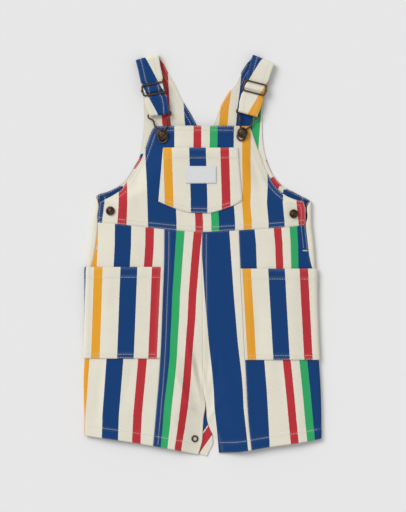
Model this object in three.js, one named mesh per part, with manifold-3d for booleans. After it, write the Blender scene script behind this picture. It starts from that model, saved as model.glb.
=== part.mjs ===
// Kids' bib overalls with short legs, buttoned up and laid flat on their back, front up.
//
// Units are millimetres. X runs to the viewer's right, Y up the garment towards the straps, and Z up
// off the surface that the back lies on. Left and right are the viewer's. The origin is below the
// middle of the garment, on the surface.
//
// The body is a flattened tube: the back lies flat, turns up at the two side folds and meets the front
// at the side seams. Every cloth piece is a wall with real thickness, made from rows of outer points.

import * as THREE from 'three';
import Module from 'manifold-3d';
import { mergeVertices } from 'three/addons/utils/BufferGeometryUtils.js';

// Cloth
const CLOTH = 1.0; // wall of every piece of cloth
const STRAP_CLOTH = 1.3; // a strap is cloth folded double
const GAP = 0.3; // between pieces that are sewn together
const SIDE_GAP = 0.5; // at the side seams, which curl round the folds
const LAID_GAP = 0.45; // under what lies on a panel

// Heights of the front above the surface, and how they rise from its edges
const FOLD_RADIUS = 3.2; // outside radius of the side folds
const BODY_HEIGHT = 10.4; // where the air inside is deepest
const FREE_EDGE_HEIGHT = 2.7; // at the armholes and inside legs, where front lies on back
const RISE_FROM_SIDE = 34; // distance over which the front rises from a side
const RISE_FROM_LEG = 36; // the same, from an inside leg
const HEM_DROP = 1.4; // the front is lower at the hems
const NECK_DROP = 1.8; // and at the bib's top edge
const BUTTON_DENT = 4.2; // height that the bib is pressed to under a bib button
const DENT_REACH = 17; // how far that dent reaches
const QUARTER = (FOLD_RADIUS * Math.PI) / 2; // length of cloth in a quarter turn of the fold

// Fastenings
const WIRE = 1.1; // radius of the hooks' and sliders' wire
const BAR_HEIGHT = 6.35; // centre of a hook's top bar, inside the strap's loop
const SLIDER_HEIGHT = 9.7; // centre of a slider's frame
const SLIDER_SIZE = { across: 28.9, along: 13.6 }; // between the wire's centres
const MIDDLE_BAR_DROP = 1.6; // a slider's middle bar is cranked down by this
const BIB_BUTTON = { radius: 7, stem: 1.5, cap: 2.7 };
const SIDE_BUTTON = { radius: 5.8, stem: 1.6, cap: 2.4 };
const SNAP = { outer: 4.6, hole: 2.5, height: 1.2 };

const LEFT = -1;
const RIGHT = 1;

// Colours
const CREAM = '#e2ddcd';
const BLUE = '#1b4278';
const RED = '#ba323a';
const LABEL_GREY = '#dcdce0';
const BRONZE = '#5a412d';

// Turns rows of plain numbers into rows with named columns.
function named(columns, rows) {
  return rows.map((row) => Object.fromEntries(columns.map((column, k) => [column, row[k]])));
}

// The two sides of the body, from the armholes to the hems: the outermost line of each fold, and the
// length of back cloth that comes round it on to the front, up to the side seam.
const SIDES = named(['y', 'leftFold', 'leftWrap', 'rightWrap', 'rightFold'], [
  [71.0, -138.2, 6.9, 9.6, 141.8],
  [56.0, -140.8, 7.9, 9.1, 142.0],
  [43.0, -143.6, 9.3, 9.2, 142.1],
  [31.0, -144.8, 9.8, 9.6, 143.2],
  [11.0, -148.0, 10.6, 9.4, 145.3],
  [-4.0, -149.7, 9.7, 8.2, 146.2],
  [-15.0, -150.4, 7.6, 6.2, 147.0],
  [-30.0, -150.9, 5.2, 4.4, 147.7],
  [-50.0, -151.5, 2.9, 2.5, 148.4],
  [-70.0, -151.9, 1.1, 0.9, 149.0],
  [-95.0, -152.4, 0.0, 0.0, 150.0],
  [-134.0, -153.3, 0.0, 0.0, 151.8],
  [-162.0, -154.5, 0.0, 0.0, 153.6],
  [-190.0, -154.4, 0.0, 0.0, 154.4],
  [-212.0, -152.2, 0.0, 0.0, 154.4],
  [-240.0, -150.5, 0.0, 0.0, 153.0],
]);

// Side and armhole edges of the front bib, from the waist seam up to the top edge.
const BIB_EDGES = named(['y', 'left', 'right'], [
  [30.0, -136.8, 135.4],
  [43.0, -136.1, 134.7],
  [56.0, -134.7, 134.7],
  [69.0, -133.3, 132.2],
  [72.3, -126.7, 120.5],
  [76.9, -117.7, 109.8],
  [85.6, -105.0, 98.6],
  [93.8, -99.1, 91.8],
  [101.6, -93.3, 87.4],
  [112.5, -86.8, 82.2],
  [124.3, -79.2, 77.4],
  [143.2, -72.5, 70.4],
  [165.0, -63.8, 62.7],
  [168.0, -59.8, 61.3],
]);

const BIB_TOP = 168;

// Rows of the bib: the height of each row at the sides and in the middle.
const BIB_ROWS = named(['sides', 'middle'], [
  [43.0, 30.0],
  [50.0, 42.0],
  [58.0, 54.0],
  [66.0, 66.0],
  [70.0, 76.0],
  [72.5, 85.0],
  [77.0, 93.0],
  [85.0, 101.0],
  [94.0, 109.0],
  [104.0, 117.0],
  [115.0, 126.0],
  [128.0, 136.0],
  [141.0, 146.0],
  [153.0, 155.0],
  [163.0, 163.0],
  [167.8, 168.2],
]);

// Waist seam, where the bib meets the leg panels, and the hems of the two front legs.
const WAIST = named(['x', 'y'], [
  [-145, 43.5],
  [-110.6, 40.5],
  [-67.9, 35.7],
  [-34.6, 32.4],
  [0, 30.2],
  [41, 32.0],
  [63, 33.3],
  [106, 36.2],
  [145, 40.4],
]);
const LEFT_HEM = named(['x', 'y'], [
  [-152, -233.0],
  [-97.8, -242.3],
  [-38.0, -252.7],
  [-5.0, -259.6],
  [6.2, -262.3],
]);
const RIGHT_HEM = named(['x', 'y'], [
  [19.0, -257.0],
  [42.6, -256.3],
  [85.5, -249.7],
  [132.3, -242.3],
  [155.0, -233.4],
]);

// Seams between the leg panels, and below the crotch the edges of the inside legs.
const LEG_SEAMS = named(['y', 'leftSeam', 'leftInside', 'rightInside', 'rightSeam'], [
  [42.0, -49.0, 0.3, 0.3, 49.4],
  [0.0, -49.3, -0.2, -0.2, 51.0],
  [-60.0, -51.4, 0.4, 0.4, 53.2],
  [-117.0, -53.5, 1.0, 1.0, 55.3],
  [-172.0, -57.0, 0.9, 1.0, 57.4],
  [-183.0, -58.0, 2.4, 2.6, 57.8],
  [-194.8, -59.0, 4.3, 5.1, 58.3],
  [-213.5, -60.6, 1.5, 6.4, 59.1],
  [-228.0, -61.9, 0.7, 11.0, 59.6],
  [-240.0, -63.0, 0.0, 18.0, 60.1],
  [-262.0, -65.0, -6.0, 22.4, 60.9],
]);

// Rows of the leg panels, in three bands: from the waist seam (0) to the pocket mouths (1), down to
// the bottoms of the hip pockets (2), and on to the hem (3).
const LEG_ROWS = [
  3, 2.94, 2.86, 2.76, 2.66, 2.56, 2.46, 2.36, 2.2, 2, 1.84, 1.68, 1.54, 1.4, 1.27, 1.15, 1.06, 1,
  0.82, 0.6, 0.36, 0.15, 0,
];

// The back above the waist, a row for each section: its side edge, how far that edge comes round the
// fold on to the front (negative: it stops on the way up), and its inner edge, which is the
// centre-back seam up to the V and the V's edge above.
const LEFT_BACK = named(['side', 'sideY', 'wrap', 'inner', 'innerY'], [
  [-141.6, 52.0, 7.2, 3.2, 46.0],
  [-139.5, 64.0, 6.6, 3.2, 62.0],
  [-138.2, 70.8, 4.8, 3.2, 76.0],
  [-137.5, 74.2, 2.2, 3.2, 88.0],
  [-136.8, 77.0, 0.0, 3.2, 98.0],
  [-134.0, 79.2, -2.6, 3.2, 107.0],
  [-129.0, 81.0, -QUARTER, 3.2, 114.0],
  [-121.6, 83.4, -QUARTER, 3.2, 120.0],
  [-112.1, 87.9, -QUARTER, 3.2, 126.0],
  [-101.7, 94.4, -QUARTER, 3.2, 132.0],
  [-93.9, 104.8, -QUARTER, 3.2, 138.0],
  [-87.4, 116.5, -QUARTER, 3.2, 144.0],
  [-80.9, 128.9, -QUARTER, 3.2, 149.7],
  [-77.7, 147.1, -QUARTER, -3.0, 160.0],
  [-75.7, 167.9, -QUARTER, -8.1, 170.5],
  [-75.3, 186.1, -QUARTER, -14.6, 182.9],
  [-76.0, 204.3, -QUARTER, -27.6, 204.3],
  [-79.7, 222.0, -QUARTER, -36.4, 223.5],
  [-81.6, 231.5, -QUARTER, -43.6, 238.0],
  [-83.3, 239.9, -QUARTER, -53.4, 248.6],
]);
const RIGHT_BACK = named(['side', 'sideY', 'wrap', 'inner', 'innerY'], [
  [142.0, 50.0, 6.8, 3.5, 46.0],
  [142.0, 60.0, 7.6, 3.5, 60.0],
  [141.9, 66.5, 5.6, 3.5, 74.0],
  [141.6, 69.0, 2.4, 3.5, 86.0],
  [140.8, 71.2, 0.0, 3.5, 97.0],
  [137.0, 73.4, -2.6, 3.5, 106.0],
  [132.0, 75.6, -QUARTER, 3.5, 113.0],
  [126.4, 78.2, -QUARTER, 3.5, 119.0],
  [115.4, 84.0, -QUARTER, 3.5, 125.0],
  [106.3, 88.6, -QUARTER, 3.5, 131.0],
  [97.2, 97.7, -QUARTER, 3.5, 137.0],
  [90.7, 107.0, -QUARTER, 3.5, 143.0],
  [84.6, 121.0, -QUARTER, 3.5, 149.7],
  [80.0, 138.0, -QUARTER, 8.6, 160.0],
  [77.9, 160.0, -QUARTER, 14.8, 172.0],
  [78.0, 180.0, -QUARTER, 22.8, 190.5],
  [80.9, 201.7, -QUARTER, 33.5, 209.5],
  [84.2, 217.0, -QUARTER, 44.8, 224.8],
  [86.4, 227.0, -QUARTER, 52.3, 236.8],
  [88.4, 236.2, -QUARTER, 60.7, 247.8],
]);

// Inner edges of the back below the waist: the centre-back seam, then the free edges of the inside
// legs. The left one sticks out past the front, between the legs.
const BACK_INSIDE = named(['y', 'left', 'right'], [
  [46.0, 3.2, 3.5],
  [-120.0, 3.6, 3.9],
  [-188.0, 4.9, 5.2],
  [-208.0, 5.0, 5.9],
  [-221.0, 7.8, 9.4],
  [-233.0, 13.0, 14.6],
  [-239.5, 15.2, 17.6],
  [-250.0, 11.3, 20.6],
  [-262.4, 6.2, 22.0],
]);

// The largest folds of the front, each a soft trough: its middle, direction, half length, half width
// and depth.
const FOLDS = named(['x', 'y', 'degrees', 'reach', 'spread', 'depth'], [
  [-4, -150, -81, 36, 6, 1.5],
  [-5, -205, -40, 9, 4, 0.8],
  [72.5, -91, 90, 36, 8, 1.1],
  [-116, -55, 90, 20, 6, 0.8],
  [36, -143, -76, 30, 6, 0.9],
  [66, -198, -76, 20, 6, 0.8],
  [-85.5, 88, -74, 20, 6, 0.9],
  [71, 100, -77, 34, 7, 0.9],
  [-134, -182, 86, 36, 6, 1.1],
  [24, 12, -62, 24, 7, 0.7],
]);

// Patch pockets and the label. A hip pocket hangs from the side seam to the leg seam.
const BIB_POCKET_SIDES = named(['y', 'left', 'right'], [
  [139.4, -50.6, 46.1],
  [105.0, -53.8, 49.0],
  [54.0, -58.2, 53.6],
]);
const BIB_POCKET_TOP = 139.4;
const BIB_POCKET_BOTTOM = named(['x', 'y'], [
  [-58.0, 70.4],
  [-47.0, 65.4],
  [-35.9, 61.0],
  [-14.5, 55.4],
  [6.4, 54.8],
  [26.1, 59.2],
  [41.1, 65.0],
  [53.0, 72.4],
]);
const LABEL = { left: -21.4, right: 18.3, top: 115.5, bottom: 93.2 };
const HIP_POCKETS = {
  [LEFT]: { top: -15.4, bottom: -134.2 },
  [RIGHT]: { top: -17.6, bottom: -136.0 },
};
const POCKET_SLACK = { mouth: 1.1, middle: 0.4 }; // how far a pocket stands off its panel

// Straps: the middles of the seam on the back, the fold over the shoulder, the slider and the hook's
// bar, and the tilt of each across the strap, in degrees.
const STRAPS = {
  [LEFT]: {
    seam: [-68.35, 244.25], fold: [-72.25, 257.65], slider: [-63.2, 216.0], bar: [-56.2, 184.6],
    seamTilt: 16.2, sliderTilt: 11.2, barTilt: 8.0,
  },
  [RIGHT]: {
    seam: [74.55, 242.0], fold: [79.95, 254.9], slider: [68.3, 217.5], bar: [59.6, 185.6],
    seamTilt: -22.7, sliderTilt: -14.6, barTilt: -16.0,
  },
};
const STRAP_WIDTH = { plain: 29, slider: 26, bar: 25.8 };
const STRAP_FOLD_RADIUS = 4.6; // outside radius of the fold over the shoulder
const LOOP_RADIUS = WIRE + GAP + STRAP_CLOTH; // outside radius of the loop round the bar

// Centres of the bib buttons, side buttons and snap.
const BIB_BUTTONS = { [LEFT]: [-51.9, 156.7], [RIGHT]: [52.3, 159.2] };
const SIDE_BUTTONS = { [LEFT]: [-119.1, 57.5], [RIGHT]: [118.5, 53.7] };
const SNAP_PLACE = [-9.8, -238.6];

// Half of a hook's wire, from the middle of its top bar round to the bottom of its loop: half width,
// and distance above the button.
const HOOK_HALF = named(['across', 'up'], [
  [0, 28.2],
  [8, 28.2],
  [13.2, 28.2],
  [14.9, 26.8],
  [14.9, 25.2],
  [13.9, 23.2],
  [10.4, 20.8],
  [8.7, 18.2],
  [8.4, 13.4],
  [6.4, 9.2],
  [3.9, 5.9],
  [3.2, 2.2],
  [4.7, -1.4],
  [5.4, -5.2],
  [3.8, -8.9],
  [0, -10.4],
]);

function mix(a, b, share) {
  return a + (b - a) * share;
}

// Rises softly from 0 to 1 as its argument does.
function soft(value) {
  const t = Math.min(Math.max(value, 0), 1);
  return t * t * (3 - 2 * t);
}

// One column of a table at any place along its key column: a smooth curve through the rows that
// never swings past them.
function along(table, key, column, place) {
  const rows = table[0][key] < table[table.length - 1][key] ? table : [...table].reverse();
  const last = rows.length - 1;
  const slope = (k) => (rows[k + 1][column] - rows[k][column]) / (rows[k + 1][key] - rows[k][key]);
  const tangent = (k) => {
    if (k === 0) return slope(0);
    if (k === last) return slope(last - 1);
    const before = slope(k - 1);
    const after = slope(k);
    return before * after <= 0 ? 0 : (2 * before * after) / (before + after);
  };
  const at = Math.min(Math.max(place, rows[0][key]), rows[last][key]);
  let k = 0;
  while (k < last - 1 && at > rows[k + 1][key]) k += 1;
  const span = rows[k + 1][key] - rows[k][key];
  const t = (at - rows[k][key]) / span;
  const start = rows[k][column];
  const end = rows[k + 1][column];
  return (
    start * (1 + 2 * t) * (1 - t) ** 2 + end * t * t * (3 - 2 * t) +
    span * tangent(k) * t * (1 - t) ** 2 - span * tangent(k + 1) * t * t * (1 - t)
  );
}

// Shape of the body

function foldAt(side, y) {
  return along(SIDES, 'y', side === LEFT ? 'leftFold' : 'rightFold', y);
}

function wrapAt(side, y) {
  return along(SIDES, 'y', side === LEFT ? 'leftWrap' : 'rightWrap', y);
}

// Where the front's height starts to rise: the top of the fold, or the bib's edge.
function risingEdge(side, y) {
  const fold = foldAt(side, y) - side * FOLD_RADIUS;
  const edge = along(BIB_EDGES, 'y', side === LEFT ? 'left' : 'right', y);
  return mix(fold, edge, soft((y - 50) / 21));
}

function insideLeg(x, y) {
  const left = along(LEG_SEAMS, 'y', 'leftInside', y);
  const right = along(LEG_SEAMS, 'y', 'rightInside', y);
  return Math.abs(x - (x < (left + right) / 2 ? left : right));
}

function foldDepth(x, y) {
  return FOLDS.reduce((sum, fold) => {
    const angle = THREE.MathUtils.degToRad(fold.degrees);
    const lengthwise = ((x - fold.x) * Math.cos(angle) + (y - fold.y) * Math.sin(angle)) / fold.reach;
    const across = ((y - fold.y) * Math.cos(angle) - (x - fold.x) * Math.sin(angle)) / fold.spread;
    return sum + fold.depth * Math.exp(-(lengthwise ** 2) - across ** 2);
  }, 0);
}

// Height of the front's outer face above the surface.
function frontHeight(x, y) {
  const inward = Math.min(x - risingEdge(LEFT, y), risingEdge(RIGHT, y) - x);
  const edgeHeight = mix(2 * FOLD_RADIUS, FREE_EDGE_HEIGHT, soft((y - 72) / 26));
  const middle = BODY_HEIGHT - HEM_DROP * soft((-195 - y) / 60) - NECK_DROP * soft((y - 125) / 43);
  let height = mix(edgeHeight, middle, soft(inward / RISE_FROM_SIDE));
  const valley = soft((-90 - y) / 98) * (1 - soft(insideLeg(x, y) / RISE_FROM_LEG));
  height = mix(height, FREE_EDGE_HEIGHT, valley);
  for (const side of [LEFT, RIGHT]) {
    const [buttonX, buttonY] = BIB_BUTTONS[side];
    const near = Math.exp(-(((x - buttonX) ** 2 + (y - buttonY) ** 2) / DENT_REACH ** 2));
    height = Math.min(height, mix(height, BUTTON_DENT, near));
  }
  const room = soft((height - FREE_EDGE_HEIGHT) / 4) * soft(inward / 8);
  return height - foldDepth(x, y) * room;
}

// A point of the body's outer face on one side, by its distance along the cloth from the outermost
// line of the fold: positive on the front, negative on the back.
function sidePoint(side, distance, y, fold = foldAt(side, y)) {
  if (Math.abs(distance) <= QUARTER) {
    const turn = distance / FOLD_RADIUS;
    const x = fold - side * FOLD_RADIUS * (1 - Math.cos(turn));
    return new THREE.Vector3(x, y, FOLD_RADIUS * (1 + Math.sin(turn)));
  }
  const x = fold - side * (FOLD_RADIUS + Math.abs(distance) - QUARTER);
  return new THREE.Vector3(x, y, distance > 0 ? frontHeight(x, y) : 0);
}

// Distance along the cloth from the fold to a place on the front.
function distanceTo(side, x, y) {
  return Math.abs(foldAt(side, y) - x) - FOLD_RADIUS + QUARTER;
}

// A point of the front's outer face, moved out along its normal.
function liftedPoint(pointAt, a, b, lift) {
  const step = 0.5;
  const point = pointAt(a, b);
  const alongA = pointAt(a + step, b).sub(pointAt(a - step, b));
  const alongB = pointAt(a, b + step).sub(pointAt(a, b - step));
  const normal = alongA.cross(alongB).normalize();
  const outward = normal.z < 0 ? -1 : 1;
  return point.addScaledVector(normal, outward * lift);
}

function frontPoint(x, y) {
  return new THREE.Vector3(x, y, frontHeight(x, y));
}

// Cloth walls

// Direction of a line of points at one of them. At an end it follows the curve of the last three.
function directionAt(points, k) {
  if (k > 0 && k < points.length - 1) return points[k + 1].clone().sub(points[k - 1]);
  const step = k === 0 ? 1 : -1;
  const near = points[k + step].clone().sub(points[k]);
  const next = points[k + 2 * step].clone().sub(points[k + step]);
  const span = near.length();
  const bend = span / (span + next.length());
  const direction = near.normalize();
  return direction.multiplyScalar(1 + bend).addScaledVector(next.normalize(), -bend).multiplyScalar(step);
}

function normalAt(grid, row, column) {
  const across = directionAt(grid[row], column);
  return across.cross(directionAt(grid.map((points) => points[column]), row)).normalize();
}

// One closed wall of cloth. The grid holds its outer points in rows, seen from outside with the rows
// running up and their points to the right. The inner points lie one wall below them.
function clothWall(name, grid, colour, wall = CLOTH) {
  const columns = grid[0].length;
  const count = grid.length * columns;
  const outer = grid.flat();
  const inner = grid.flatMap((points, row) =>
    points.map((point, column) => point.clone().addScaledVector(normalAt(grid, row, column), -wall)));
  const triangles = [];
  for (let row = 0; row < grid.length - 1; row += 1) {
    for (let column = 0; column < columns - 1; column += 1) {
      const a = row * columns + column;
      const d = a + columns;
      triangles.push(a, a + 1, d + 1, a, d + 1, d);
      triangles.push(count + a, count + d + 1, count + a + 1, count + a, count + d, count + d + 1);
    }
  }
  const rim = [];
  for (let column = 0; column < columns; column += 1) rim.push(column);
  for (let row = 1; row < grid.length; row += 1) rim.push(row * columns + columns - 1);
  const lastRow = (grid.length - 1) * columns;
  for (let column = columns - 2; column >= 0; column -= 1) rim.push(lastRow + column);
  for (let row = grid.length - 2; row > 0; row -= 1) rim.push(row * columns);
  rim.forEach((from, k) => {
    const to = rim[(k + 1) % rim.length];
    triangles.push(to, from, count + from, to, count + from, count + to);
  });
  const geometry = new THREE.BufferGeometry();
  const positions = [...outer, ...inner].flatMap((point) => point.toArray());
  geometry.setAttribute('position', new THREE.Float32BufferAttribute(positions, 3));
  geometry.setIndex(triangles);
  geometry.computeVertexNormals();
  const material = new THREE.MeshStandardMaterial({ color: colour, roughness: 0.9, metalness: 0 });
  const mesh = new THREE.Mesh(geometry, material);
  mesh.name = name;
  return mesh;
}

function shares(count) {
  return Array.from({ length: count + 1 }, (_, k) => k / count);
}

// Front pieces

function frontBib() {
  const columns = shares(14);
  const grid = BIB_ROWS.map((row, index) => columns.map((share) => {
    const toSide = (2 * share - 1) ** 2;
    let y = mix(row.middle, row.sides, toSide);
    let x = 0;
    for (let pass = 0; pass < 4; pass += 1) {
      const left = along(BIB_EDGES, 'y', 'left', y) + GAP / 2;
      const right = along(BIB_EDGES, 'y', 'right', y) - GAP / 2;
      x = mix(left, right, share);
      if (index === 0) y = along(WAIST, 'x', 'y', x) + GAP / 2;
    }
    return frontPoint(x, y);
  }));
  return clothWall('front_bib', grid, CREAM);
}

function hemAt(side, x) {
  return along(side === LEFT ? LEFT_HEM : RIGHT_HEM, 'x', 'y', x);
}

// Height of a leg row at a place across the leg.
function legRowY(side, row, x) {
  const { top, bottom } = HIP_POCKETS[side];
  const levels = [along(WAIST, 'x', 'y', x) - GAP / 2, top, bottom, hemAt(side, x)];
  const band = Math.min(Math.floor(row), 2);
  return mix(levels[band], levels[band + 1], row - band);
}

const SIDE_PANEL_COLUMNS = [0, 0.02, 0.04, 0.06, 0.13, 0.26, 0.42, 0.58, 0.72, 0.86, 1];

// Place on a side panel, by its row and its share of the way from the side to the leg seam.
function sidePanelPlace(side, row, share, startAt) {
  const seamColumn = side === LEFT ? 'leftSeam' : 'rightSeam';
  let x = foldAt(side, 0);
  let distance = 0;
  let y = 0;
  for (let pass = 0; pass < 5; pass += 1) {
    y = legRowY(side, row, x);
    const seam = along(LEG_SEAMS, 'y', seamColumn, y) + (side * GAP) / 2;
    distance = mix(startAt(y) + SIDE_GAP / 2, distanceTo(side, seam, y), share);
    x = sidePoint(side, distance, y).x;
  }
  return { distance, y };
}

function sidePanel(side, name, colour) {
  const grid = LEG_ROWS.map((row) => {
    const points = SIDE_PANEL_COLUMNS.map((share) => {
      const { distance, y } = sidePanelPlace(side, row, share, (at) => wrapAt(side, at));
      return sidePoint(side, distance, y);
    });
    return side === LEFT ? points : points.reverse();
  });
  return clothWall(name, grid, colour);
}

function centrePanel(side, name, colour) {
  const insideColumn = side === LEFT ? 'leftInside' : 'rightInside';
  const seamColumn = side === LEFT ? 'leftSeam' : 'rightSeam';
  const grid = LEG_ROWS.map((row) => {
    const points = shares(6).map((share) => {
      let x = side * 30;
      let y = 0;
      for (let pass = 0; pass < 5; pass += 1) {
        y = legRowY(side, row, x);
        const seam = along(LEG_SEAMS, 'y', seamColumn, y) - (side * GAP) / 2;
        const inside = along(LEG_SEAMS, 'y', insideColumn, y) + (side * GAP) / 2;
        x = mix(seam, inside, share);
      }
      return frontPoint(x, y);
    });
    return side === LEFT ? points : points.reverse();
  });
  return clothWall(name, grid, colour);
}

// Back pieces

const WRAP_STEPS = 6;
const BACK_COLUMNS = shares(5);

// One row of the back, from the side edge to the inner edge.
function backRow(side, edge) {
  const turn = Math.min(edge.wrap, 0) / FOLD_RADIUS;
  const fold = edge.side + side * FOLD_RADIUS * (1 - Math.cos(turn));
  const flatStart = fold - side * FOLD_RADIUS;
  const wrapped = edge.wrap > -QUARTER + 0.01;
  const margin = wrapped ? 0 : 0.09 * Math.abs(edge.inner - flatStart);
  const rowY = (x) => {
    const share = Math.min(Math.max((x - flatStart) / (edge.inner - flatStart), 0), 1);
    return mix(edge.sideY, edge.innerY, share);
  };
  const points = [];
  for (let step = 0; step < WRAP_STEPS; step += 1) {
    const distance = mix(edge.wrap, -QUARTER - margin, step / WRAP_STEPS);
    const x = sidePoint(side, distance, edge.sideY, fold).x;
    points.push(sidePoint(side, distance, rowY(x), fold));
  }
  for (const share of BACK_COLUMNS) {
    const x = mix(flatStart - side * margin, edge.inner, share);
    points.push(new THREE.Vector3(x, rowY(x), 0));
  }
  return side === LEFT ? points.reverse() : points;
}

function backHalf(side, name, colour) {
  const insideColumn = side === LEFT ? 'left' : 'right';
  const body = LEG_ROWS.map((row) => {
    const sideY = legRowY(side, row, side * 152);
    const innerY = legRowY(side, row, side === LEFT ? 6.2 : 22);
    return {
      side: foldAt(side, sideY), sideY, wrap: wrapAt(side, sideY) - SIDE_GAP / 2,
      inner: along(BACK_INSIDE, 'y', insideColumn, innerY), innerY,
    };
  });
  const upper = side === LEFT ? LEFT_BACK : RIGHT_BACK;
  return clothWall(name, [...body, ...upper].map((edge) => backRow(side, edge)), colour);
}

// Pockets and label

function bibPocketPoint(share, drop, lift) {
  let x = 0;
  let y = 100;
  for (let pass = 0; pass < 4; pass += 1) {
    y = mix(BIB_POCKET_TOP, along(BIB_POCKET_BOTTOM, 'x', 'y', x), drop);
    x = mix(along(BIB_POCKET_SIDES, 'y', 'left', y), along(BIB_POCKET_SIDES, 'y', 'right', y), share);
  }
  return liftedPoint(frontPoint, x, y, lift);
}

// How far a pocket's cloth stands off at a place on it: sewn down at its sides and bottom.
function pocketSlack(across, drop) {
  const fromSides = soft(Math.min(across, 1 - across) / 0.2);
  const mouth = POCKET_SLACK.mouth * soft(1 - drop / 0.3);
  return fromSides * (mouth + POCKET_SLACK.middle * soft((1 - drop) / 0.2));
}

function bibPocket() {
  const drops = [...shares(7)].reverse();
  const grid = drops.map((drop) => shares(10).map((share) =>
    bibPocketPoint(share, drop, LAID_GAP + CLOTH + pocketSlack(share, drop))));
  return clothWall('bib_pocket', grid, BLUE);
}

function bibLabel() {
  const pocketLeft = along(BIB_POCKET_SIDES, 'y', 'left', LABEL.top);
  const pocketRight = along(BIB_POCKET_SIDES, 'y', 'right', LABEL.top);
  const grid = shares(3).map((up) => shares(4).map((share) => {
    const x = mix(LABEL.left, LABEL.right, share);
    const y = mix(LABEL.bottom, LABEL.top, up);
    const across = (x - pocketLeft) / (pocketRight - pocketLeft);
    const bottom = along(BIB_POCKET_BOTTOM, 'x', 'y', x);
    const slack = pocketSlack(across, (BIB_POCKET_TOP - y) / (BIB_POCKET_TOP - bottom));
    return liftedPoint(frontPoint, x, y, 2 * (LAID_GAP + CLOTH) + slack);
  }));
  return clothWall('bib_label', grid, LABEL_GREY);
}

// A hip pocket follows its side panel's rows and columns, and goes out to the fold at its mouth.
function hipPocket(side, name) {
  const pointAt = (distance, y) => sidePoint(side, distance, y);
  const grid = LEG_ROWS.filter((row) => row >= 1 && row <= 2).map((row) => {
    const points = SIDE_PANEL_COLUMNS.map((share) => {
      const { distance, y } = sidePanelPlace(side, row, share, () => 0);
      const mouth = POCKET_SLACK.mouth * soft((1.5 - row) / 0.5) * soft((1 - share) / 0.15);
      return liftedPoint(pointAt, distance, y, LAID_GAP + CLOTH + mouth);
    });
    return side === LEFT ? points : points.reverse();
  });
  return clothWall(name, grid, BLUE);
}

// Straps

// One strap's outer face as rows, from the seam on the back, over the shoulder fold, down the front
// through the slider, round the hook's bar and back up to the slider's middle bar.
function strapRows(side) {
  const strap = STRAPS[side];
  const seam = new THREE.Vector2(...strap.seam);
  const fold = new THREE.Vector2(...strap.fold);
  const slider = new THREE.Vector2(...strap.slider);
  const bar = new THREE.Vector2(...strap.bar);
  const rows = [];
  const add = (middle, height, tilt, width) => {
    const angle = THREE.MathUtils.degToRad(tilt);
    const across = new THREE.Vector3(Math.cos(angle), Math.sin(angle), 0);
    const centre = new THREE.Vector3(middle.x, middle.y, height);
    rows.push([0.5, 0.17, -0.17, -0.5].map((share) => centre.clone().addScaledVector(across, share * width)));
  };
  const up = fold.clone().sub(seam).normalize();
  const turnCentre = fold.clone().addScaledVector(up, -STRAP_FOLD_RADIUS);
  add(seam.clone().addScaledVector(up, GAP), 0, strap.seamTilt, 30.2);
  for (const turn of [-90, -60, -30, 0, 30, 60, 90]) {
    const angle = THREE.MathUtils.degToRad(turn);
    const middle = turnCentre.clone().addScaledVector(up, STRAP_FOLD_RADIUS * Math.cos(angle));
    add(middle, STRAP_FOLD_RADIUS * (1 + Math.sin(angle)), strap.seamTilt, 30);
  }
  const top = 2 * STRAP_FOLD_RADIUS;
  const reach = SLIDER_SIZE.along / 2;
  const down = slider.clone().sub(turnCentre).normalize();
  const underBar = SLIDER_HEIGHT - WIRE - GAP;
  const overBar = SLIDER_HEIGHT - MIDDLE_BAR_DROP + WIRE + GAP + STRAP_CLOTH;
  const easedTilt = mix(strap.seamTilt, strap.sliderTilt, 0.6);
  add(turnCentre.clone().lerp(slider, 0.35), top - 0.1, easedTilt, STRAP_WIDTH.plain);
  add(slider.clone().addScaledVector(down, -reach - 5), top - 0.4, strap.sliderTilt, STRAP_WIDTH.plain);
  for (const place of [-reach - 1.5, -reach, -reach + 1.5]) {
    add(slider.clone().addScaledVector(down, place), underBar, strap.sliderTilt, STRAP_WIDTH.slider);
  }
  for (const place of [-1.6, 0, 1.6]) {
    add(slider.clone().addScaledVector(down, place), overBar, strap.sliderTilt, STRAP_WIDTH.slider);
  }
  for (const place of [reach - 1.5, reach, reach + 1.5]) {
    add(slider.clone().addScaledVector(down, place), underBar, strap.sliderTilt, STRAP_WIDTH.slider);
  }
  const loopTop = BAR_HEIGHT + LOOP_RADIUS;
  const away = bar.clone().sub(slider).normalize();
  const tiltAt = (share) => mix(strap.sliderTilt, strap.barTilt, share);
  add(slider.clone().addScaledVector(away, reach + 5.5), loopTop, tiltAt(0.4), STRAP_WIDTH.plain);
  add(slider.clone().lerp(bar, 0.65), loopTop + 0.1, tiltAt(0.7), STRAP_WIDTH.plain);
  const barAngle = THREE.MathUtils.degToRad(strap.barTilt);
  const barDown = new THREE.Vector2(Math.sin(barAngle), -Math.cos(barAngle));
  for (const turn of [90, 60, 30, 0, -30, -60, -90]) {
    const angle = THREE.MathUtils.degToRad(turn);
    const middle = bar.clone().addScaledVector(barDown, LOOP_RADIUS * Math.cos(angle));
    add(middle, BAR_HEIGHT + LOOP_RADIUS * Math.sin(angle), strap.barTilt, STRAP_WIDTH.bar);
  }
  const loopBottom = BAR_HEIGHT - LOOP_RADIUS;
  const underMiddle = SLIDER_HEIGHT - MIDDLE_BAR_DROP - WIRE - GAP - STRAP_CLOTH;
  add(slider.clone().lerp(bar, 0.6), loopBottom + 0.1, tiltAt(0.6), STRAP_WIDTH.slider);
  add(slider.clone().lerp(bar, 0.25), mix(underMiddle, loopBottom, 0.5), tiltAt(0.2), STRAP_WIDTH.slider);
  add(slider.clone().addScaledVector(down, -1), underMiddle, strap.sliderTilt, STRAP_WIDTH.slider);
  return rows;
}

// Hard pieces

const wasm = await Module();
wasm.setup();

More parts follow.
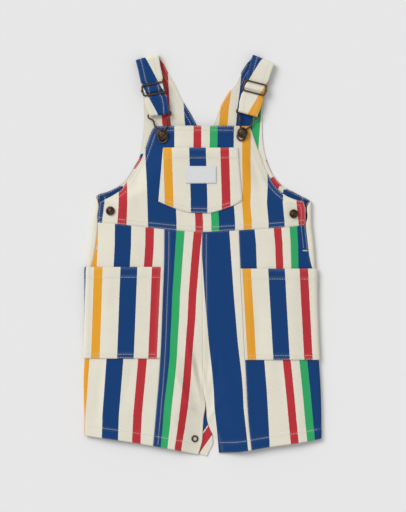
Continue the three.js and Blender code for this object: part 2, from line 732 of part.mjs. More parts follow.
function solidOf(geometry) {
  const bare = geometry.clone();
  bare.deleteAttribute('normal');
  bare.deleteAttribute('uv');
  const merged = mergeVertices(bare, 1e-4);
  return new wasm.Manifold(new wasm.Mesh({
    numProp: 3,
    vertProperties: new Float32Array(merged.attributes.position.array),
    triVerts: new Uint32Array(merged.index.array),
  }));
}

function metal(name, geometry) {
  const material = new THREE.MeshStandardMaterial({ color: BRONZE, roughness: 0.4, metalness: 0.9 });
  const mesh = new THREE.Mesh(geometry, material);
  mesh.name = name;
  return mesh;
}

function geometryOf(solid) {
  const { vertProperties, triVerts } = solid.getMesh();
  const geometry = new THREE.BufferGeometry();
  geometry.setAttribute('position', new THREE.BufferAttribute(new Float32Array(vertProperties), 3));
  geometry.setIndex(new THREE.BufferAttribute(new Uint32Array(triVerts), 1));
  geometry.computeVertexNormals();
  return geometry;
}

// Height of a hook's wire: on the bib where it lies on it, and up to the strap's loop above it.
function hookHeight(x, y, side) {
  const reach = WIRE + 0.6;
  const around = [[0, 0], [reach, 0], [-reach, 0], [0, reach], [0, -reach]];
  const heights = around.map(([dx, dy]) => frontHeight(x + dx, Math.min(y + dy, BIB_TOP)));
  const onBib = Math.max(...heights) + LAID_GAP + WIRE;
  return mix(onBib, BAR_HEIGHT, soft((y - STRAPS[side].bar[1] + 18) / 14));
}

function hook(side, name) {
  const [buttonX, buttonY] = BIB_BUTTONS[side];
  const angle = THREE.MathUtils.degToRad(STRAPS[side].barTilt);
  const mirrored = HOOK_HALF.slice(1, -1).reverse().map((row) => ({ across: -row.across, up: row.up }));
  const points = [...HOOK_HALF, ...mirrored].map(({ across, up }) => {
    const x = buttonX + across * Math.cos(angle) - up * Math.sin(angle);
    const y = buttonY + across * Math.sin(angle) + up * Math.cos(angle);
    return new THREE.Vector3(x, y, hookHeight(x, y, side));
  });
  const path = new THREE.CatmullRomCurve3(points, true, 'centripetal');
  return metal(name, new THREE.TubeGeometry(path, 48, WIRE, 6, true));
}

// A rounded rectangle of wire with a middle bar cranked down and a nub at one end.
function slider(side, name) {
  const halfAcross = SLIDER_SIZE.across / 2;
  const halfAlong = SLIDER_SIZE.along / 2;
  const corner = 2.4;
  const points = [];
  for (const [cornerX, cornerY, from] of [[1, 1, 0], [-1, 1, 90], [-1, -1, 180], [1, -1, 270]]) {
    for (const turn of [0, 30, 60, 90]) {
      const angle = THREE.MathUtils.degToRad(from + turn);
      const x = cornerX * (halfAcross - corner) + corner * Math.cos(angle);
      const y = cornerY * (halfAlong - corner) + corner * Math.sin(angle);
      points.push(new THREE.Vector3(x, y, 0));
    }
  }
  const ring = new THREE.CatmullRomCurve3(points, true, 'chordal');
  const frame = new THREE.TubeGeometry(ring, 28, WIRE, 6, true);
  const bar = new THREE.CylinderGeometry(WIRE, WIRE, SLIDER_SIZE.across + 1, 6);
  bar.rotateZ(Math.PI / 2).translate(0, 0, -MIDDLE_BAR_DROP);
  const nub = new THREE.CylinderGeometry(1.3, 1.3, 4.2, 6).translate(side * (halfAcross + 0.9), 0, 0);
  const solid = solidOf(frame).add(solidOf(bar)).add(solidOf(nub));
  const geometry = geometryOf(solid);
  geometry.rotateZ(THREE.MathUtils.degToRad(STRAPS[side].sliderTilt));
  const mesh = metal(name, geometry);
  mesh.position.set(...STRAPS[side].slider, SLIDER_HEIGHT);
  return mesh;
}

// A metal button with a slightly domed cap that has two plain rings, on a short stem.
function button(name, size, stemLength, [x, y]) {
  const { radius, stem, cap } = size;
  const profile = [
    [0, 0], [stem, 0], [stem, stemLength], [radius - 0.5, stemLength], [radius, stemLength + 0.6],
    [radius - 0.3, stemLength + cap - 0.7], [radius - 1.6, stemLength + cap - 0.2],
    [radius - 2.3, stemLength + cap - 0.6], [radius * 0.35, stemLength + cap - 0.2], [0, stemLength + cap],
  ].map(([across, up]) => new THREE.Vector2(across, up));
  const geometry = new THREE.LatheGeometry(profile, 14).rotateX(Math.PI / 2);
  const mesh = metal(name, geometry);
  const foot = liftedPoint(frontPoint, x, y, GAP);
  const normal = foot.clone().sub(frontPoint(x, y)).normalize();
  mesh.quaternion.setFromUnitVectors(new THREE.Vector3(0, 0, 1), normal);
  mesh.position.copy(foot);
  return mesh;
}

function snap() {
  const { outer, hole, height } = SNAP;
  const profile = [
    [hole, 0], [outer, 0], [outer, height * 0.5], [outer - 0.6, height], [hole + 0.6, height],
    [hole, height * 0.6], [hole, 0],
  ].map(([across, up]) => new THREE.Vector2(across, up));
  const geometry = new THREE.LatheGeometry(profile, 16).rotateX(Math.PI / 2);
  const mesh = metal('inseam_snap', geometry);
  const foot = liftedPoint(frontPoint, ...SNAP_PLACE, LAID_GAP);
  const normal = foot.clone().sub(frontPoint(...SNAP_PLACE)).normalize();
  mesh.quaternion.setFromUnitVectors(new THREE.Vector3(0, 0, 1), normal);
  mesh.position.copy(foot);
  return mesh;
}

// The whole garment

const group = new THREE.Group();
group.add(frontBib());
group.add(sidePanel(LEFT, 'front_left_side', BLUE));
group.add(centrePanel(LEFT, 'front_left_centre', RED));
group.add(centrePanel(RIGHT, 'front_right_centre', BLUE));
group.add(sidePanel(RIGHT, 'front_right_side', RED));
group.add(backHalf(LEFT, 'back_left', CREAM));
group.add(backHalf(RIGHT, 'back_right', CREAM));
group.add(bibPocket());
group.add(bibLabel());
for (const [side, word] of [[LEFT, 'left'], [RIGHT, 'right']]) {
  group.add(hipPocket(side, `hip_pocket_${word}`));
  group.add(clothWall(`strap_${word}`, strapRows(side), CREAM, STRAP_CLOTH));
  group.add(hook(side, `hook_${word}`));
  group.add(slider(side, `slider_${word}`));
  group.add(button(`bib_button_${word}`, BIB_BUTTON, 2 * (WIRE + GAP) + 0.3, BIB_BUTTONS[side]));
  group.add(button(`side_button_${word}`, SIDE_BUTTON, 0.8, SIDE_BUTTONS[side]));
}
group.add(snap());

export default group;
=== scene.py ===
"""Looks of the kids' bib overalls: striped cotton pieces, stitching and bronze fastenings, laid flat.

Sizes in the tables are millimetres, as in the part's source; meshes are made in metres.
"""
import math

import bmesh
import bpy
import numpy as np
from bpy.props import FloatProperty, FloatVectorProperty, PointerProperty
from bpy.types import Operator, Panel, PropertyGroup
from mathutils import Matrix, Vector
from mathutils.bvhtree import BVHTree


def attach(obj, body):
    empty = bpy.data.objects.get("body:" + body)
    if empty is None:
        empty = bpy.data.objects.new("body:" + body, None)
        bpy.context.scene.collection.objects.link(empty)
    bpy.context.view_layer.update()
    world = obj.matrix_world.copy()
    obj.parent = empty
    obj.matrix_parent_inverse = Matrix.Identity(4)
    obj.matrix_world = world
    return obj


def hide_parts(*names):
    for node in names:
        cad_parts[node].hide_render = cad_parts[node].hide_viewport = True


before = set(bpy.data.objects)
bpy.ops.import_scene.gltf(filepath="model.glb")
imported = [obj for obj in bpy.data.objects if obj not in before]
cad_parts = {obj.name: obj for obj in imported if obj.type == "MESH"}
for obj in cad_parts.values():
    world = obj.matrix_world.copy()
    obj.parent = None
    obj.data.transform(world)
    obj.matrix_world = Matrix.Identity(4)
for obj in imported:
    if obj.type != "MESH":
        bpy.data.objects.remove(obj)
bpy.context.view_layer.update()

bl_info = {
    "name": "Kids' bib overalls",
    "version": (1, 0, 0),
    "blender": (4, 5, 0),
    "location": "View3D > Sidebar > Overalls",
    "description": "Sews the cloth pieces of a pair of bib overalls and models their fastenings",
    "category": "Object",
}

MM = 0.001
LEFT, RIGHT = -1, 1
SIDE_WORDS = {LEFT: "left", RIGHT: "right"}

# Body of the garment
GAP = 0.3
SIDE_GAP = 0.5
LAID_GAP = 0.45
FOLD_RADIUS = 3.2
BODY_HEIGHT = 10.4
FREE_EDGE_HEIGHT = 2.7
RISE_FROM_SIDE = 34
RISE_FROM_LEG = 36
HEM_DROP = 1.4
NECK_DROP = 1.8
BUTTON_DENT = 4.2
DENT_REACH = 17
QUARTER = FOLD_RADIUS * math.pi / 2

# Fastenings
BAR_HEIGHT = 6.35
SLIDER_HEIGHT = 9.7
SLIDER_ACROSS, SLIDER_ALONG = 28.9, 13.6
MIDDLE_BAR_DROP = 1.6


def named(columns, rows):
    """Rows of plain numbers as columns with names."""
    return {name: np.array([row[k] for row in rows], float) for k, name in enumerate(columns.split())}


SIDES = named("y left_fold left_wrap right_wrap right_fold", [
    (71, -138.2, 6.9, 9.6, 141.8), (56, -140.8, 7.9, 9.1, 142), (43, -143.6, 9.3, 9.2, 142.1),
    (31, -144.8, 9.8, 9.6, 143.2), (11, -148, 10.6, 9.4, 145.3), (-4, -149.7, 9.7, 8.2, 146.2),
    (-15, -150.4, 7.6, 6.2, 147), (-30, -150.9, 5.2, 4.4, 147.7), (-50, -151.5, 2.9, 2.5, 148.4),
    (-70, -151.9, 1.1, 0.9, 149), (-95, -152.4, 0, 0, 150), (-134, -153.3, 0, 0, 151.8),
    (-162, -154.5, 0, 0, 153.6), (-190, -154.2, 0, 0, 154.8), (-212, -153.2, 0, 0, 155.2),
    (-240, -153, 0, 0, 155)])
BIB_EDGES = named("y left right", [
    (30, -136.8, 135.4), (43, -136.1, 134.7), (56, -134.7, 134.7), (69, -133.3, 132.2),
    (72.3, -126.7, 120.5), (76.9, -117.7, 109.8), (85.6, -105, 98.6), (93.8, -99.1, 91.8),
    (101.6, -93.3, 87.4), (112.5, -86.8, 82.2), (124.3, -79.2, 77.4), (143.2, -72.5, 70.4),
    (165, -63.8, 62.7), (168, -59.8, 61.3)])
BIB_TOP = 168
BIB_ROWS = named("row sides middle", [
    (0, 43, 30), (1, 50, 42), (2, 58, 54), (3, 66, 66), (4, 70, 76), (5, 72.5, 85), (6, 77, 93),
    (7, 85, 101), (8, 94, 109), (9, 104, 117), (10, 115, 126), (11, 128, 136), (12, 141, 146),
    (13, 153, 155), (14, 163, 163), (15, 167.8, 168.2)])
WAIST = named("x y", [
    (-145, 43.5), (-110.6, 40.5), (-67.9, 35.7), (-34.6, 32.4), (0, 30.2), (41, 32), (63, 33.3),
    (106, 36.2), (145, 40.4)])
HEMS = {
    LEFT: named("x y", [(-152, -234.8), (-97.8, -242.3), (-38, -252.7), (-5, -259.6), (6.2, -262.3)]),
    RIGHT: named("x y", [(19, -257), (42.6, -256.3), (85.5, -249.7), (136, -242.4), (155, -238.6)])}
LEG_SEAMS = named("y left_seam left_inside right_inside right_seam", [
    (42, -49, 0.3, 0.3, 47.2), (0, -49.3, -0.2, -0.2, 48.9), (-60, -51.4, 0.4, 0.4, 52),
    (-117, -53.5, 1, 1, 54.8), (-172, -57, 0.9, 1, 57.7), (-183, -58, 2.4, 2.6, 58.3),
    (-194.8, -59, 4.3, 5.1, 58.9), (-213.5, -60.6, 1.5, 6.4, 60), (-228, -61.9, 0.7, 11, 61.3),
    (-240, -63, 0, 18, 62.6), (-262, -65, -6, 22.4, 65.2)])
BACKS = {
    LEFT: named("side side_y wrap inner inner_y", [
        (-141.6, 52, 7.2, 3.2, 46), (-139.5, 64, 6.6, 3.2, 62), (-139.2, 70.8, 4.8, 3.2, 76),
        (-139, 74.2, 2.2, 3.2, 88), (-138.7, 76.6, 0, 3.2, 98), (-135.4, 78.7, -2.6, 3.2, 107),
        (-129, 81, -QUARTER, 3.2, 114), (-121.6, 83.4, -QUARTER, 3.2, 120),
        (-112.1, 87.9, -QUARTER, 3.2, 126), (-101.7, 94.4, -QUARTER, 3.2, 132),
        (-93.9, 104.8, -QUARTER, 3.2, 138), (-87.4, 116.5, -QUARTER, 3.2, 144),
        (-80.9, 128.9, -QUARTER, 3.2, 149.7), (-77.7, 147.1, -QUARTER, -3, 160),
        (-75.7, 167.9, -QUARTER, -8.1, 170.5), (-75.3, 186.1, -QUARTER, -14.6, 182.9),
        (-76, 204.3, -QUARTER, -27.6, 204.3), (-79.7, 222, -QUARTER, -36.4, 223.5),
        (-81.6, 231.5, -QUARTER, -45.4, 238.8), (-83.3, 239.9, -QUARTER, -50.4, 249.4)]),
    RIGHT: named("side side_y wrap inner inner_y", [
        (142, 50, 6.8, 3.5, 46), (142, 60, 7.6, 3.5, 60), (141.9, 66.5, 5.6, 3.5, 74),
        (141.6, 69, 2.4, 3.5, 86), (140.8, 71.2, 0, 3.5, 97), (137, 73.4, -2.6, 3.5, 106),
        (132, 75.6, -QUARTER, 3.5, 113), (126.4, 78.2, -QUARTER, 3.5, 119),
        (115.4, 84, -QUARTER, 3.5, 125), (106.3, 88.6, -QUARTER, 3.5, 131),
        (97.2, 97.7, -QUARTER, 3.5, 137), (90.7, 107, -QUARTER, 3.5, 143),
        (84.6, 121, -QUARTER, 3.5, 149.7), (80, 138, -QUARTER, 8.6, 160),
        (77.9, 160, -QUARTER, 14.8, 172), (78, 180, -QUARTER, 22.8, 190.5),
        (80.9, 201.7, -QUARTER, 33.5, 209.5), (84.2, 217, -QUARTER, 44.8, 224.8),
        (86.4, 227, -QUARTER, 50.8, 237.2), (88.4, 236.2, -QUARTER, 57.9, 248.8)])}
BACK_INSIDE = named("y left right", [
    (46, 3.2, 3.5), (-120, 3.6, 3.9), (-188, 4.9, 5.2), (-208, 5, 5.9), (-221, 7.8, 9.4),
    (-233, 13, 14.6), (-239.5, 15.2, 17.6), (-250, 11.3, 20.6), (-262.4, 6.2, 22)])

# The largest folds of the front, as in the part's source
FOLDS = named("x y degrees reach spread depth", [
    (-4, -150, -81, 36, 6, 1.5), (-5, -205, -40, 9, 4, 0.8), (72.5, -91, 90, 36, 8, 1.1),
    (-116, -55, 90, 20, 6, 0.8), (36, -143, -76, 30, 6, 0.9), (66, -198, -76, 20, 6, 0.8),
    (-85.5, 88, -74, 20, 6, 0.9), (71, 100, -77, 34, 7, 0.9), (-134, -182, 86, 36, 6, 1.1),
    (24, 12, -62, 24, 7, 0.7)])

BIB_POCKET_SIDES = named("y left right", [(139.4, -50.6, 46.1), (105, -53.8, 49), (54, -58.2, 53.6)])
BIB_POCKET_TOP = 139.4
BIB_POCKET_BOTTOM = named("x y", [
    (-58, 70.4), (-47, 65.4), (-35.9, 61), (-14.5, 55.4), (6.4, 54.8), (26.1, 59.2), (41.1, 65),
    (53, 72.4)])
LABEL = {"left": -21.4, "right": 18.3, "top": 115.5, "bottom": 93.2}
HIP_POCKETS = {LEFT: (-15.4, -134.2), RIGHT: (-17.6, -136.0)}
MOUTH_SLACK, MIDDLE_SLACK = 1.1, 0.4

STRAPS = {
    LEFT: {"seam": (-68.35, 244.25), "fold": (-72.25, 257.65), "slider": (-63.2, 216.0),
           "bar": (-56.2, 184.6), "seam_tilt": 16.2, "slider_tilt": 11.2, "bar_tilt": 8.0},
    RIGHT: {"seam": (74.55, 242.0), "fold": (79.95, 254.9), "slider": (68.3, 217.5),
            "bar": (59.6, 185.6), "seam_tilt": -22.7, "slider_tilt": -14.6, "bar_tilt": -16.0}}
STRAP_WIDTH = {"plain": 29, "slider": 26, "bar": 25.8}
STRAP_FOLD_RADIUS = 4.6
BIB_BUTTONS = {LEFT: (-51.9, 156.7), RIGHT: (52.3, 159.2)}
SIDE_BUTTONS = {LEFT: (-119.1, 57.5), RIGHT: (118.5, 53.7)}
SNAP_PLACE = (-9.8, -238.6)
HOOK_HALF = [
    (0, 28.2), (8, 28.2), (13.2, 28.2), (14.9, 26.8), (14.9, 25.2), (13.9, 23.2), (10.4, 20.8),
    (8.7, 18.2), (8.4, 13.4), (6.4, 9.2), (3.9, 5.9), (3.2, 2.2), (4.7, -1.4), (5.4, -5.2),
    (3.8, -8.9), (0, -10.4)]

# Smaller creases that the source leaves out: middle, direction, half length, half width, depth
CREASES = named("x y degrees reach spread depth", [
    (-16, -168, -60, 20, 3.2, 0.7), (-30, -128, -72, 26, 4.5, 0.5), (14, -176, -112, 18, 3.2, 0.6),
    (20, -120, -100, 30, 5, 0.45), (-22, -214, -52, 15, 3, 0.5), (28, -222, -118, 16, 3.5, 0.5),
    (-96, -168, 78, 30, 5, 0.5), (104, -176, 98, 34, 5, 0.5), (120, -208, 84, 22, 4.5, 0.45),
    (-118, -208, 100, 22, 4.5, 0.5), (-70, -20, 84, 26, 5, 0.4), (96, 8, 88, 22, 4.5, 0.45),
    (-94, 14, 96, 20, 4.5, 0.45), (-26, 4, -80, 30, 5, 0.4), (34, -60, -84, 34, 5, 0.35),
    (-98, 66, -58, 16, 4, 0.5), (100, 66, -126, 17, 4, 0.5), (-62, 112, -84, 20, 4, 0.4),
    (60, 68, -100, 18, 4, 0.4), (-20, 152, 2, 26, 4, 0.3), (28, 154, 178, 22, 4, 0.3),
    (-8, -188, -32, 13, 2.6, 0.9), (-5.5, -154, -76, 24, 2.2, 2.4), (-4, -203, -20, 7, 1.6, 1.3),
    (112, -32, 88, 14, 5, 0.35),
    (-138, 8, 84, 22, 3.5, 0.4), (136, 14, 92, 20, 3.5, 0.4), (60, -232, 86, 12, 3.5, 0.4)])


RIDGES = named("x y degrees reach spread height", [
    (-11.5, -148, -76, 32, 3.4, 3.6), (1.5, -158, -78, 20, 2.6, 2.0), (13, -150, -101, 24, 3.6, 2.0),
    (-15, -197, -32, 15, 2.6, 2.3),
    (-27, -172, -64, 28, 3.8, 2.4), (17, -198, -120, 17, 3.2, 1.8), (-34, -222, -66, 18, 4, 1.3),
    (-84, -196, 84, 24, 5, 0.5), (88, -160, 92, 30, 6, 0.5), (-4, -100, -88, 26, 6, 0.5),
    (-96, 92, -70, 18, 4, 0.6), (78, 104, -76, 28, 4.5, 0.6), (-126, -186, 86, 30, 4.5, 0.6),
    (58, -200, -76, 22, 4.5, 0.6), (28, -140, -76, 26, 4.5, 0.6)])


def mix(a, b, share):
    return a + (b - a) * share


def soft(value):
    t = np.clip(value, 0, 1)
    return t * t * (3 - 2 * t)


def along(table, key, column, place):
    """One column of a table at any place along its key column, on a smooth curve through the rows."""
    x, y = table[key], table[column]
    if x[0] > x[-1]:
        x, y = x[::-1], y[::-1]
    slope = np.diff(y) / np.diff(x)
    product = slope[:-1] * slope[1:]
    total = np.where(product > 0, slope[:-1] + slope[1:], 1)
    tangent = np.concatenate([slope[:1], np.where(product > 0, 2 * product / total, 0), slope[-1:]])
    at = np.clip(place, x[0], x[-1])
    k = np.clip(np.searchsorted(x, at, side="right") - 1, 0, len(x) - 2)
    span = x[k + 1] - x[k]
    t = (at - x[k]) / span
    return (y[k] * (1 + 2 * t) * (1 - t) ** 2 + y[k + 1] * t * t * (3 - 2 * t)
            + span * tangent[k] * t * (1 - t) ** 2 - span * tangent[k + 1] * t * t * (1 - t))


def fold_at(side, y):
    return along(SIDES, "y", f"{SIDE_WORDS[side]}_fold", y)


def wrap_at(side, y):
    return along(SIDES, "y", f"{SIDE_WORDS[side]}_wrap", y)


def rising_edge(side, y):
    fold = fold_at(side, y) - side * FOLD_RADIUS
    return mix(fold, along(BIB_EDGES, "y", SIDE_WORDS[side], y), soft((y - 50) / 21))


def fold_depth(table, x, y):
    total = 0
    for fx, fy, degrees, reach, spread, depth in zip(*table.values()):
        angle = math.radians(degrees)
        lengthwise = ((x - fx) * math.cos(angle) + (y - fy) * math.sin(angle)) / reach
        across = ((y - fy) * math.cos(angle) - (x - fx) * math.sin(angle)) / spread
        total = total + depth * np.exp(-(lengthwise ** 2) - across ** 2)
    return total


def front_height(x, y, creases=True):
    """Height of the front's outer face, with the source's folds and the smaller creases."""
    inward = np.minimum(x - rising_edge(LEFT, y), rising_edge(RIGHT, y) - x)
    edge_height = mix(2 * FOLD_RADIUS, FREE_EDGE_HEIGHT, soft((y - 72) / 26))
    middle = BODY_HEIGHT - HEM_DROP * soft((-195 - y) / 60) - NECK_DROP * soft((y - 125) / 43)
    height = mix(edge_height, middle, soft(inward / RISE_FROM_SIDE))
    left = along(LEG_SEAMS, "y", "left_inside", y)
    right = along(LEG_SEAMS, "y", "right_inside", y)
    inside_leg = np.abs(x - np.where(x < (left + right) / 2, left, right))
    valley = soft((-90 - y) / 98) * (1 - soft(inside_leg / RISE_FROM_LEG))
    height = mix(height, FREE_EDGE_HEIGHT, valley)
    for button_x, button_y in BIB_BUTTONS.values():
        near = np.exp(-((x - button_x) ** 2 + (y - button_y) ** 2) / DENT_REACH ** 2)
        height = np.minimum(height, mix(height, BUTTON_DENT, near))
    room = soft((height - FREE_EDGE_HEIGHT) / 4) * soft(inward / 8)
    if not creases:
        return height - fold_depth(FOLDS, x, y) * room
    wave = 0.16 * np.sin(x / 17 + 1.1 * np.sin(y / 41)) * np.sin(y / 23 + 0.8 * np.sin(x / 31) + 0.7)
    depth = fold_depth(FOLDS, x, y) + fold_depth(CREASES, x, y) + wave
    return height - depth * room + fold_depth(RIDGES, x, y) * soft(inward / 10)


def points(x, y, z):
    return np.stack(np.broadcast_arrays(np.asarray(x, float), y, z), axis=-1)


def front_point(x, y):
    return points(x, y, front_height(x, y))


def side_point(side, distance, y, fold=None):
    """A point of the outer face by its distance along the cloth from the fold, plus on the front."""
    fold = fold_at(side, y) if fold is None else fold
    turn = np.clip(distance / FOLD_RADIUS, -math.pi / 2, math.pi / 2)
    x = fold - side * (FOLD_RADIUS * (1 - np.cos(turn)) + np.maximum(np.abs(distance) - QUARTER, 0))
    curl = FOLD_RADIUS * (1 + np.sin(turn))
    z = np.where(distance > QUARTER, front_height(x, y), np.where(distance < -QUARTER, 0, curl))
    return points(x, y, z)


def distance_to(side, x, y):
    return np.abs(fold_at(side, y) - x) - FOLD_RADIUS + QUARTER


def spaced(length, step, near_edges=(0.5, 1.0, 1.6, 2.4, 3.4, 4.6, 6.0, 7.6)):
    """Shares from 0 to 1 along a length, close together near both ends."""
    ends = np.array([0, *near_edges])
    middle = np.linspace(ends[-1], length - ends[-1], max(int((length - 2 * ends[-1]) / step), 1) + 1)
    return np.concatenate([ends[:-1], middle, (length - ends[:-1])[::-1]]) / length


# Cloth

SEWN_GAP = 0.12  # between pieces at a seam, as it shows

# Sewing along an edge: distances of the stitch rows, width of the folded cloth and how thick it is
EDGES = {
    "plain": ((), 0, 0), "seam": ((5.8,), 7.0, 0.3), "felled": ((1.4, 6.3), 7.6, 0.32), "hem": ((13.0,), 14.2, 0.42),
    "facing": ((1.7, 6.2), 9.0, 0.16), "pocket": ((1.4, 6.2), 7.4, 0.3), "mouth": ((1.6, 12.0), 13.2, 0.35),
    "strap": ((6.5,), 7.6, 0.12), "waist": ((1.4, 6.2), 7.6, 0.34), "row": ((5.2,), 6.2, 0.25)}


def edge_relief(distance, run, kind, phase):
    """Height that the sewing gives the cloth, by distance from an edge and place along it."""
    rows, fold, lift = EDGES[kind]
    height = -0.42 * (1 - soft(distance / 1.2))
    if fold:
        height = height + lift * (1 - soft((distance - fold) / 1.8))
    for row in rows:
        off = distance - row
        height = height - 0.26 * np.exp(-(off / 0.75) ** 2)
        beat = 0.6 + 0.4 * np.sin(run / 19 + phase)
        pucker = np.sin(2 * math.pi * (run + 0.5 * off) / 5.6 + 2.3 * np.sin(run / 33 + phase))
        height = height + 0.15 * beat * pucker * np.exp(-(off / 3.4) ** 2)
    return height


def runs(grid, axis):
    """Length along the grid's lines from their starts."""
    steps = np.linalg.norm(np.diff(grid, axis=axis), axis=-1)
    zero = np.zeros_like(np.take(steps, [0], axis=axis))
    return np.concatenate([zero, np.cumsum(steps, axis=axis)], axis=axis)


def from_line(grid, line):
    """Distance of a grid's points from a line, and the place along the line that they are nearest."""
    start, step = line[:-1], np.diff(line, axis=0)
    length = np.maximum(np.linalg.norm(step, axis=1), 1e-6)
    run = np.concatenate([[0], np.cumsum(length)[:-1]])
    flat = grid.reshape(-1, 1, 3)
    share = np.clip(((flat - start) * step).sum(-1) / length ** 2, 0, 1)
    apart = np.linalg.norm(flat - start - share[..., None] * step, axis=-1)
    nearest = apart.argmin(1)
    row = np.arange(len(nearest))
    shape = grid.shape[:2]
    return apart[row, nearest].reshape(shape), (run + share * length)[row, nearest].reshape(shape)


def normals_of(grid):
    across, up = (np.gradient(grid, axis=axis) for axis in (1, 0))
    normal = np.cross(across, up)
    return normal / np.maximum(np.linalg.norm(normal, axis=-1, keepdims=True), 1e-9)


def mesh_object(name, vertices, faces, uv=None, smooth=True):
    mesh = bpy.data.meshes.new(name)
    mesh.from_pydata((np.asarray(vertices) * MM).tolist(), [], np.asarray(faces).tolist())
    if uv is not None:
        corners = np.empty(len(mesh.loops), int)
        mesh.loops.foreach_get("vertex_index", corners)
        layer = mesh.uv_layers.new(name="Cloth")
        layer.data.foreach_set("uv", (np.asarray(uv)[corners] * MM).ravel())
    mesh.polygons.foreach_set("use_smooth", [smooth] * len(mesh.polygons))
    mesh.update()
    made = bpy.data.objects.new(name, mesh)
    bpy.context.scene.collection.objects.link(made)
    return made


PIECES = {}


def sew(name, node, grid, u, v, wall, edges, material, inner_u=None, limit=9.0, row_of=None):
    """Makes one closed piece of cloth from its outer points, whose rows run up and go to the right seen
    from outside. u and v are places across and along the stripes; edges names the sewing of each side."""
    rows, columns = grid.shape[:2]
    normal = normals_of(grid)
    run_u, run_v = runs(grid, 1), runs(grid, 0)
    lines = {"left": grid[:, 0], "right": grid[:, -1], "bottom": grid[0], "top": grid[-1]}
    relief = np.zeros((rows, columns))
    wear = np.zeros((rows, columns))
    for k, (edge, kind) in enumerate(edges.items()):
        distance, run = from_line(grid, lines[edge])
        fade = 1.0
        if row_of and edge in row_of:
            fade = row_of[edge](grid[..., 0], grid[..., 1])
        relief = relief + edge_relief(distance, run, kind, 1.7 * k + len(name)) * fade
        wear = np.maximum(wear, np.exp(-(distance / 1.1) ** 2) * (0.5 + 0.5 * np.sin(run / 3.1) ** 2))
        for row in EDGES[kind][0]:
            wear = np.maximum(wear, 0.45 * np.exp(-((distance - row) / 1.6) ** 2) * fade)
    relief = np.clip(relief, -0.55, limit)
    outer = grid + normal * relief[..., None]
    inner = grid - normal * wall
    rim = [(0, c) for c in range(columns)] + [(r, columns - 1) for r in range(1, rows)]
    rim += [(rows - 1, c) for c in range(columns - 2, -1, -1)] + [(r, 0) for r in range(rows - 2, 0, -1)]
    rim = np.array(rim)
    inside = np.clip(rim, 1, [rows - 2, columns - 2])
    away = grid[rim[:, 0], rim[:, 1]] - grid[inside[:, 0], inside[:, 1]]
    away /= np.maximum(np.linalg.norm(away, axis=1, keepdims=True), 1e-9)
    outer_rim, inner_rim = outer[rim[:, 0], rim[:, 1]], inner[rim[:, 0], rim[:, 1]]
    ring = (outer_rim + inner_rim) / 2 + away * 0.14
    a = (np.arange(rows - 1)[:, None] * columns + np.arange(columns - 1)).ravel()
    count = rows * columns
    faces = [np.stack([a, a + 1, a + columns + 1, a + columns], axis=1)]
    faces.append(faces[0][:, ::-1] + count)
    start = rim[:, 0] * columns + rim[:, 1]
    end = np.roll(start, -1)
    middle = 2 * count + np.arange(len(rim))
    middle_end = np.roll(middle, -1)
    faces.append(np.stack([end, start, middle, middle_end], axis=1))
    faces.append(np.stack([middle_end, middle, start + count, end + count], axis=1))
    u, v = (np.broadcast_to(value, (rows, columns)) for value in (u, v))
    outer_uv = np.stack([u, v], axis=-1).reshape(-1, 2)
    inner_uv = outer_uv if inner_u is None else np.stack([inner_u, v], axis=-1).reshape(-1, 2)
    uv = np.concatenate([outer_uv, inner_uv, outer_uv[start]])
    vertices = np.concatenate([outer.reshape(-1, 3), inner.reshape(-1, 3), ring])
    made = mesh_object(name, vertices, np.concatenate(faces), uv)
    worn = made.data.attributes.new("wear", "FLOAT", "POINT")
    flat_wear = wear.ravel()
    worn.data.foreach_set("value", np.concatenate([flat_wear, 0.3 * flat_wear, flat_wear[start]]))
    made.data.materials.append(material)
    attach(made, "root")
    if node:
        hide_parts(node)
    PIECES[name] = {"object": made, "outer": outer, "normal": normal, "run_u": run_u, "run_v": run_v}
    cell = np.linalg.norm(np.cross(grid[1:, :-1] - grid[:-1, :-1], grid[:-1, 1:] - grid[:-1, :-1]), axis=-1)
    PIECES[name]["area"] = cell.sum()
    PIECES[name]["size"] = (run_u[:, -1].max(), run_v[-1].max())
    return made


def lifted(point_at, a, b, lift):
    """A point of a face moved out along the face's normal."""
    step = 0.5
    along_a = point_at(a + step, b) - point_at(a - step, b)
    along_b = point_at(a, b + step) - point_at(a, b - step)
    normal = np.cross(along_a, along_b)
    normal *= np.where(normal[..., 2:] < 0, -1, 1) / np.linalg.norm(normal, axis=-1, keepdims=True)
    return point_at(a, b) + normal * np.asarray(lift)[..., None]


# Stripes: place of each piece's cloth in the repeat. Table rows are heights and where one stripe starts.

def stripe(y, x, table, start, turned=1):
    """Place in the repeat. A row of the table is a height, where a stripe starts there, and how much
    cloth a millimetre of the plan takes to the left and to the right of it."""
    rows = np.array(sorted(table), float)
    lean, before, after = (np.interp(y, rows[:, 0], rows[:, k]) for k in (1, 2, 3))
    return start + turned * (x - lean) * np.where(x < lean, before, after)


def bib_grid(rows, columns):
    height = (BIB_ROWS["sides"] + BIB_ROWS["middle"]) / 2
    level = np.interp(height[0] + rows * (height[-1] - height[0]), height, BIB_ROWS["row"])[:, None]
    share = columns[None, :]
    to_side = (2 * share - 1) ** 2
    base = mix(along(BIB_ROWS, "row", "middle", level), along(BIB_ROWS, "row", "sides", level), to_side)
    first = mix(30.0, 43.0, to_side)
    x, y = 0 * base, base
    for _ in range(5):
        left = along(BIB_EDGES, "y", "left", y) + SEWN_GAP / 2
        right = along(BIB_EDGES, "y", "right", y) - SEWN_GAP / 2
        x = mix(left, right, share)
        y = base + (1 - np.clip(level, 0, 1)) * (along(WAIST, "x", "y", x) + SEWN_GAP / 2 - first)
    return front_point(x, y)


